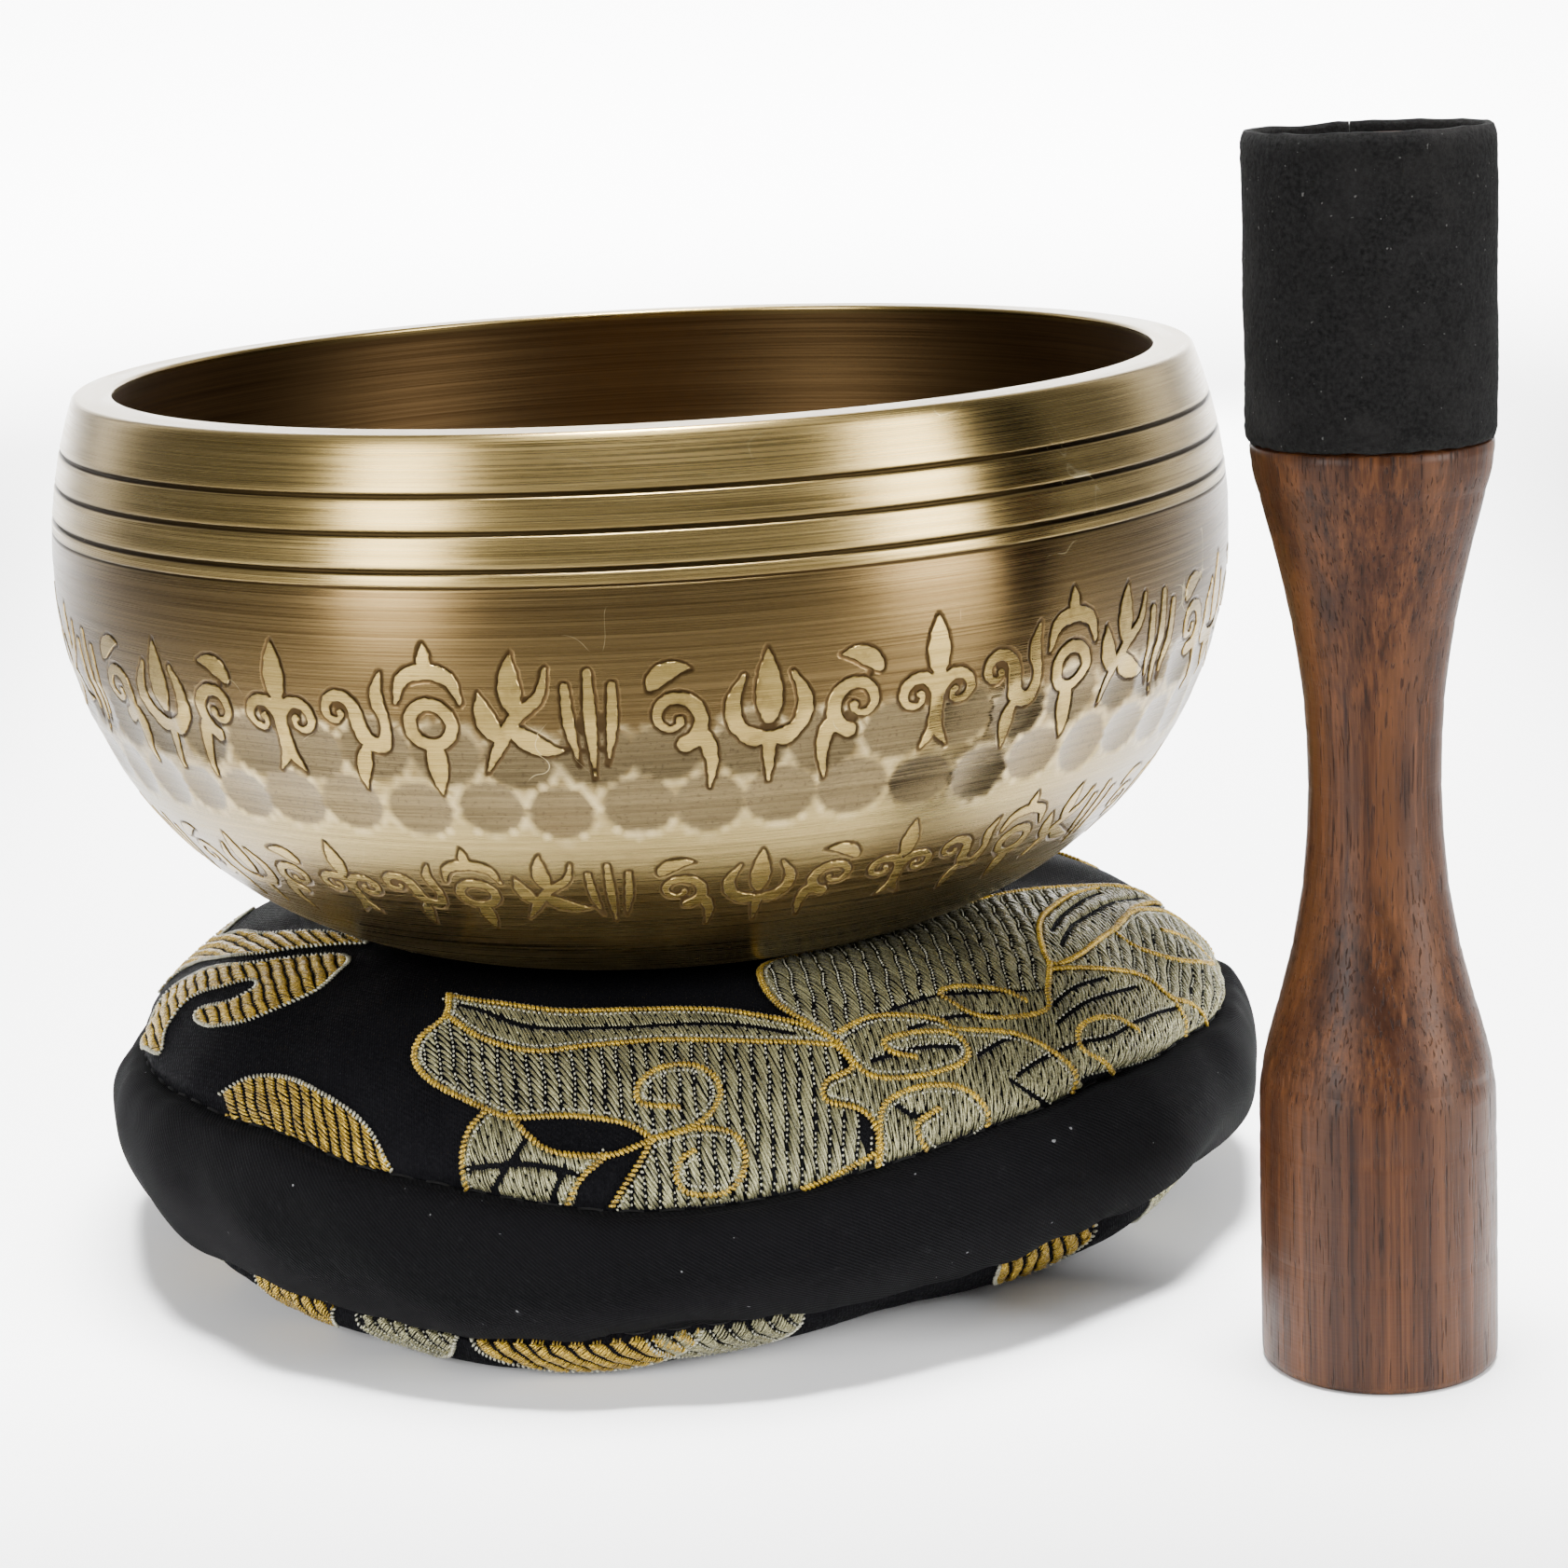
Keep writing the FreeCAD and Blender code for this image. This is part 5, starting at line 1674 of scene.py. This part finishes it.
def twill_material():
    """The side band: dull black cotton with fine slanting ribs and a little lint."""
    n = Nodes("black_twill")
    on_cloth = n.add("ShaderNodeCombineXYZ")
    n.link(n.attribute("around"), on_cloth.inputs[0])
    n.link(n.attribute("across"), on_cloth.inputs[1])
    slant = n.add("ShaderNodeMapping")
    slant.inputs["Rotation"].default_value = (0, 0, math.radians(52))
    n.link(on_cloth.outputs[0], slant.inputs["Vector"])
    ribs = n.bands(slant.outputs["Vector"], 1.05, 0.6)
    yarn = n.bands(on_cloth.outputs[0], 1.0, 0.6)
    place = n.position(IN_MM)
    grain = n.noise(place, scale=2.4, detail=3.0)
    fluff = n.noise(place, scale=0.55, detail=5.0, roughness=0.75)
    specks = n.noise(place, scale=1.1, detail=1.0)
    base = n.mix(ribs, (0.0009, 0.0009, 0.0011), (0.0040, 0.0040, 0.0044))
    base = n.mix(n.between(fluff, 0.60, 0.72, 0, 0.3), base, (0.014, 0.014, 0.015))
    base = n.mix(n.between(specks, 0.79, 0.81, 0, 0.5), base, (0.25, 0.25, 0.26))
    n.bump((ribs, 0.5, 0.00012), (yarn, 0.3, 0.00006), (grain, 0.4, 0.0001))
    n.set(Roughness=0.95, Specular_IOR_Level=0.03, Sheen_Weight=0.006, Sheen_Roughness=0.5)
    return n.out(Base_Color=base)


def float_material(name, dark, light, metallic, rough_low, rough_high):
    """Glossy weft thread, each with its own tone and faint lengthwise filaments."""
    n = Nodes(name)
    tone = n.attribute("tone")
    place = n.position(IN_MM)
    filament = n.noise(place, scale=4.5)
    cloud = n.noise(place, scale=0.25)
    shade = n.plus(n.times(tone, 0.5), n.times(filament, 0.5))
    base = n.mix(shade, dark, light)
    base = n.mix(n.between(cloud, 0.45, 0.75, 0, 0.35), base, dark)
    rough = n.between(filament, 0.3, 0.7, rough_low, rough_high)
    n.bump((filament, 0.35, 0.00006))
    n.set(Metallic=metallic, Specular_IOR_Level=0.6, Sheen_Weight=0.1)
    return n.out(Base_Color=base, Roughness=rough)


def plain_fibre(name, dark, light, scale, rough):
    """Matt fibre, mottled."""
    n = Nodes(name)
    grain = n.noise(n.position(IN_MM), scale=scale, detail=4.0)
    n.bump((grain, 0.5, 0.00015))
    n.set(Roughness=rough, Specular_IOR_Level=0.2)
    return n.out(Base_Color=n.mix(grain, dark, light))


# ---------------------------------------------------------------- the mallet

WOOD_TOP = cad_box("mallet_handle")[1][2]
WRAP_LOW, WRAP_HIGH = cad_box("mallet_suede_wrap")
MALLET_X = (WRAP_LOW[0] + WRAP_HIGH[0]) / 2
MALLET_Y = (WRAP_LOW[1] + WRAP_HIGH[1]) / 2
WRAP_RADIUS = (WRAP_HIGH[0] - WRAP_LOW[0]) / 2
CORE_RADIUS = 9.7
WOOD_STOPS = ((2.0, 10.78), (14.0, 10.74), (24.5, 10.64), (27.0, 10.46), (30.0, 9.92),
              (34.0, 8.82), (38.5, 7.66), (43.5, 6.7), (48.5, 6.15), (54.0, 5.9), (59.5, 6.04),
              (65.0, 6.56), (70.5, 7.48), (75.5, 8.58), (80.0, 9.76), (82.6, 10.4),
              (84.2, 10.62))


def turned_mesh(sections, columns, shift):
    """A closed turned solid on the z axis from (radius, height) rows; shift(angle, z) is added."""
    angles = np.linspace(0, TURN, columns, endpoint=False)
    rows = []
    for radius, height in sections:
        out = radius + (shift(angles, height) if radius > 1 else 0)
        rows.append(ring_points(out, angles, height))
    faces = grid_faces(len(sections), columns, flip=True)
    welded, joined, _ = weld(np.concatenate(rows), faces)
    return welded + (MALLET_X, MALLET_Y, 0), joined


def make_handle(wood):
    """The turned rosewood handle, with the gouge's shallow rings."""
    curve = along([(z, r, 0) for z, r in WOOD_STOPS], 7)
    foot = [(0.0, 0.0), (4.0, 0.02), (8.5, 0.0), (10.05, 0.0), (10.4, 0.1), (10.65, 0.38),
            (10.76, 0.85)]
    body = [(r, z) for z, r, _ in curve]
    head = [(10.6, 84.85), (10.3, WRAP_LOW[2] - 0.02), (CORE_RADIUS, WRAP_LOW[2])]
    top = WOOD_TOP
    head += [(CORE_RADIUS, z) for z in np.linspace(WRAP_LOW[2] + 1, top - 0.7, 12)]
    head += [(CORE_RADIUS - 0.12, top - 0.35), (CORE_RADIUS - 0.4, top - 0.1),
             (CORE_RADIUS - 0.8, top), (7.5, top - 0.03), (5, top), (2.5, top - 0.02), (0.0, top)]
    draw = random.Random(81)
    rings = [(draw.uniform(3, 84), draw.uniform(0.15, 0.5), draw.uniform(0.02, 0.05))
             for _ in range(46)]

    def turning_marks(angles, z):
        """Shallow rings left by the gouge, and a hand-turned unevenness."""
        if z > WRAP_LOW[2] - 0.2 or z < 0.5:
            return 0 * angles
        cut = sum(depth * math.exp(-((z - place) / width) ** 2) for place, width, depth in rings)
        return 0.03 * np.sin(2 * angles + z * 0.05) - cut

    fine = []
    sections = foot + body + head
    for (r0, z0), (r1, z1) in zip(sections[:-1], sections[1:]):
        pieces = max(1, int(math.hypot(r1 - r0, z1 - z0) / 0.45)) if r0 > 9 or z0 > 1 else 1
        if z0 > WRAP_LOW[2] - 0.1:
            pieces = 1
        fine += [(r0 + (r1 - r0) * k / pieces, z0 + (z1 - z0) * k / pieces)
                 for k in range(pieces)]
    fine.append(sections[-1])
    points, faces = turned_mesh(fine, 160, turning_marks)
    make_mesh("mallet_turned_wood", points, faces, "mallet", wood,
              replaces=["mallet_handle"])


def make_sleeve(suede):
    """The sleeve: a strip of suede glued round the head, its ends meeting at the back."""
    columns, rows = 220, 60
    butt_gap, edge_rounding, butt_dip, nap_height = 0.12, 0.3, 0.25, 0.022
    gap = butt_gap / WRAP_RADIUS
    angles = math.pi / 2 + np.linspace(gap / 2, TURN - gap / 2, columns)
    t = np.linspace(0, 1, rows)[:, None]
    wander = ripples(angles, 91, (2, 9), 0.13)
    low = WRAP_LOW[2] + 0.1 + np.abs(ripples(angles, 92, (3, 23), 0.22))
    high = WRAP_HIGH[2] - np.abs(ripples(angles, 93, (1, 8), 0.20))
    height = low + (high - low) * t
    nap = np.random.default_rng(94).normal(0, nap_height, (rows, columns))
    rows_from_edge = np.minimum(t, 1 - t) * (rows - 1)
    rounding = edge_rounding * np.clip(1 - rows_from_edge / 2.5, 0, 1) ** 2
    outer = (WRAP_RADIUS - 0.02 + wander * 0.6 + 0.12 * np.sin(height * 0.5 + 3 * angles) * 0.4
             + nap - rounding)
    from_butt = np.minimum(angles - angles[0], angles[-1] - angles) * WRAP_RADIUS
    outer = outer - butt_dip * np.exp(-(from_butt / 0.5) ** 2)
    inner = np.full_like(outer, CORE_RADIUS + 0.05) + rounding * 0.3
    points = np.vstack([ring_points(radius, angles, height).reshape(-1, 3)
                        for radius in (outer, inner)]) + (MALLET_X, MALLET_Y, 0)
    count = rows * columns
    faces = []
    for r in range(rows - 1):
        for c in range(columns - 1):
            a = r * columns + c
            faces.append([a, a + 1, a + columns + 1, a + columns])
            faces.append([count + a + columns, count + a + columns + 1, count + a + 1, count + a])
        for c in (0, columns - 1):
            a, b = r * columns + c, (r + 1) * columns + c
            side = [a, b, count + b, count + a]
            faces.append(side if c == 0 else side[::-1])
    for c in range(columns - 1):
        a, b = c, (rows - 1) * columns + c
        faces.append([a + 1, a, count + a, count + a + 1])
        faces.append([b, b + 1, count + b + 1, count + b])
    make_mesh("mallet_suede_sleeve", points, faces, "mallet", suede,
              replaces=["mallet_suede_wrap"])


def rosewood_material():
    """Oiled rosewood: red-brown, with dark streaks up the grain, growth rings and pores."""
    n = Nodes("turned_rosewood")
    shifted = n.add("ShaderNodeVectorMath", operation="ADD")
    n.link(n.position((1, 1, 0.06)), shifted.inputs[0])
    shifted.inputs[1].default_value = (-0.030, 0.125, 0.0)
    rings = n.add("ShaderNodeTexWave", wave_type="RINGS", rings_direction="Z")
    n.feed(rings, Vector=shifted.outputs[0], Scale=95.0, Distortion=2.6, Detail=4.0,
           Detail_Scale=1.8)
    fibres = n.noise(n.position((3400, 3400, 34)), detail=4.0, roughness=0.6)
    streaks = n.noise(n.position((900, 900, 16)), detail=6.0, roughness=0.65)
    broad = n.noise(n.position((250, 250, 7)), detail=4.0)
    pores = n.noise(n.position((5200, 5200, 230)), detail=1.0, roughness=0.5)
    turning = n.noise(n.position((30, 30, 2600)), detail=3.0)
    tone = n.plus(n.times(streaks, 0.55), n.times(fibres, 0.45))
    base = n.ramp(tone, (0.38, (0.011, 0.0037, 0.0013)), (0.5, (0.037, 0.0130, 0.0042)),
                  (0.62, (0.074, 0.0265, 0.0085)))
    late_wood = n.times(n.between(rings.outputs["Fac"], 0.5, 0.95), 0.45)
    base = n.mix(late_wood, base, (0.015, 0.0048, 0.0022))
    base = n.mix(n.between(broad, 0.52, 0.70, 0, 0.7), base, (0.019, 0.0062, 0.0026))
    base = n.mix(n.between(broad, 0.46, 0.28, 0, 0.4), base, (0.105, 0.041, 0.014))
    pore = n.between(pores, 0.60, 0.70)
    base = n.mix(n.times(pore, 0.7), base, (0.007, 0.0028, 0.0015))
    # the end grain drinks more oil
    end = n.between(n.height(), WOOD_TOP - 1.2, WOOD_TOP - 0.4)
    base = n.mix(n.times(end, 0.75), base, (0.012, 0.0045, 0.002))
    rough = n.plus(n.between(streaks, 0.3, 0.7, 0.38, 0.48), n.times(pore, 0.25))
    n.bump((n.times(pore, -1.0), 0.6, 0.0001), (turning, 0.5, 0.00006), (fibres, 0.3, 0.00006))
    n.set(Specular_IOR_Level=0.15)
    return n.out(Base_Color=base, Roughness=rough)


def suede_material():
    """Black suede: matt nap with brushed patches and pale dust."""
    n = Nodes("black_suede")
    place = n.position(IN_MM)
    nap = n.noise(place, scale=2.6, detail=6.0, roughness=0.7)
    brushed = n.noise(place, scale=0.22, detail=3.0)
    dust = n.noise(place, scale=2.3, detail=1.0)
    base = n.mix(n.between(nap, 0.25, 0.75), (0.0008, 0.0008, 0.0008), (0.0105, 0.0105, 0.010))
    base = n.mix(n.between(brushed, 0.45, 0.75, 0, 0.4), base, (0.013, 0.0125, 0.012))
    base = n.mix(n.between(dust, 0.75, 0.80, 0, 0.45), base, (0.14, 0.135, 0.13))
    n.bump((nap, 0.9, 0.00025), (brushed, 0.3, 0.0006))
    n.set(Roughness=0.95, Specular_IOR_Level=0.04, Sheen_Weight=0.012, Sheen_Roughness=0.6)
    return n.out(Base_Color=base)


# ---------------------------------------------------------------- the stage

def aim(thing, target):
    """Turns a light or camera to look at a point."""
    direction = Vector(target) - thing.location
    thing.rotation_euler = direction.to_track_quat("-Z", "Y").to_euler()


def soft_box(name, place, target, size, power, spread=180):
    """A rectangular panel; a grid on its front can narrow the spread of the light."""
    light = bpy.data.lights.new(name, "AREA")
    light.shape = "RECTANGLE"
    light.size, light.size_y = size
    light.energy = power
    light.spread = math.radians(spread)
    lamp = bpy.data.objects.new(name, light)
    bpy.context.scene.collection.objects.link(lamp)
    lamp.location = place
    aim(lamp, target)
    return lamp


def make_floor():
    """A plain pale floor that sweeps up behind."""
    reach, bend_start, bend, tall = 2.6, 1.4, 1.2, 2.6
    quarter = np.linspace(0, math.pi / 2, 16)
    floor_y = [-reach, *(bend_start + bend * np.sin(quarter)), bend_start + bend]
    floor_z = [0.0, *(bend * (1 - np.cos(quarter))), tall]
    points = [(x, y, z) for y, z in zip(floor_y, floor_z) for x in (-reach, reach)]
    faces = [(2 * k, 2 * k + 1, 2 * k + 3, 2 * k + 2) for k in range(len(floor_y) - 1)]
    floor_mesh = bpy.data.meshes.new("floor")
    floor_mesh.from_pydata(points, [], faces)
    floor_mesh.polygons.foreach_set("use_smooth", [True] * len(faces))
    floor = bpy.data.objects.new("floor", floor_mesh)
    bpy.context.scene.collection.objects.link(floor)
    paper = Nodes("pale_floor")
    paper.set(Base_Color=(0.93, 0.93, 0.93, 1), Roughness=0.9, Specular_IOR_Level=0.1)
    floor_mesh.materials.append(paper.material)


def make_world():
    """A studio that is bright behind the object and dim on the camera's side."""
    world = bpy.data.worlds.new("studio")
    bpy.context.scene.world = world
    world.use_nodes = True
    tree = world.node_tree
    background = tree.nodes["Background"]
    background.inputs["Color"].default_value = (1, 1, 1, 1)
    place = tree.nodes.new("ShaderNodeTexCoord")
    split = tree.nodes.new("ShaderNodeSeparateXYZ")
    shade = tree.nodes.new("ShaderNodeMapRange")
    shade.interpolation_type = "SMOOTHSTEP"
    for socket, value in (("From Min", 0.35), ("From Max", 0.8), ("To Min", FRONT_LIGHT),
                          ("To Max", BACK_LIGHT)):
        shade.inputs[socket].default_value = value
    tree.links.new(place.outputs["Generated"], split.inputs[0])
    tree.links.new(split.outputs["Y"], shade.inputs["Value"])
    tree.links.new(shade.outputs["Result"], background.inputs["Strength"])


def make_lights():
    """Two upright panels make the bright bands on the metal; the rest only lights the floor."""
    middle = (0.0, 0.0, 0.06)
    soft_box("left_panel", (-0.525, -0.534, 0.25), middle, size=(0.24, 0.5), power=8.0)
    soft_box("right_panel", (0.620, -0.422, 0.25), middle, size=(0.26, 0.5), power=9.5)
    soft_box("over_object", (0.013, 0.27, 0.5), (0.013, 0.27, 0), size=(0.32, 0.74), power=5.0,
             spread=20)
    soft_box("over_floor", (0.0, 1.35, 1.0), (0, 1.35, 0), size=(1.5, 1.5), power=60, spread=70)
    soft_box("backdrop", (0.0, 0.9, 1.7), (0, 2.3, 0.4), size=(1.8, 0.5), power=90, spread=110)


def make_camera():
    """Looks a little down on the bowl, and leans a little to one side."""
    pitch, lean = math.radians(12.97), math.radians(-2.711)
    distance = 0.372
    look_at = Vector((0.01322, 0.0, 0.04397))
    camera_data = bpy.data.cameras.new("camera")
    camera_data.sensor_width = 36.0
    camera_data.lens = 81.3
    camera = bpy.data.objects.new("camera", camera_data)
    bpy.context.scene.collection.objects.link(camera)
    camera.location = look_at + distance * Vector((0, -math.cos(pitch), math.sin(pitch)))
    facing = Matrix.Rotation(math.pi / 2 - pitch, 4, "X") @ Matrix.Rotation(lean, 4, "Z")
    camera.rotation_euler = facing.to_euler()
    bpy.context.scene.camera = camera


make_floor()
make_world()
make_lights()
make_camera()
make_bowl(bowl_material())
make_cushion({
    "satin": satin_material(),
    "twill": twill_material(),
    "silver": float_material("silver_floats", (0.026, 0.022, 0.006), (0.37, 0.35, 0.175), 0.35,
                             0.20, 0.34),
    "gold": float_material("gold_floats", (0.085, 0.045, 0.001), (0.55, 0.355, 0.010), 0.4,
                           0.20, 0.34),
    "beads": float_material("white_beads", (0.16, 0.155, 0.10), (0.55, 0.54, 0.42), 0.35,
                            0.16, 0.26),
    "thread": plain_fibre("black_thread", (0.001, 0.001, 0.001), (0.004, 0.004, 0.004), 3.0,
                          0.9),
    "filling": plain_fibre("stuffing", (0.5, 0.49, 0.46), (0.75, 0.74, 0.71), 0.8, 0.95),
})

make_handle(rosewood_material())
make_sleeve(suede_material())
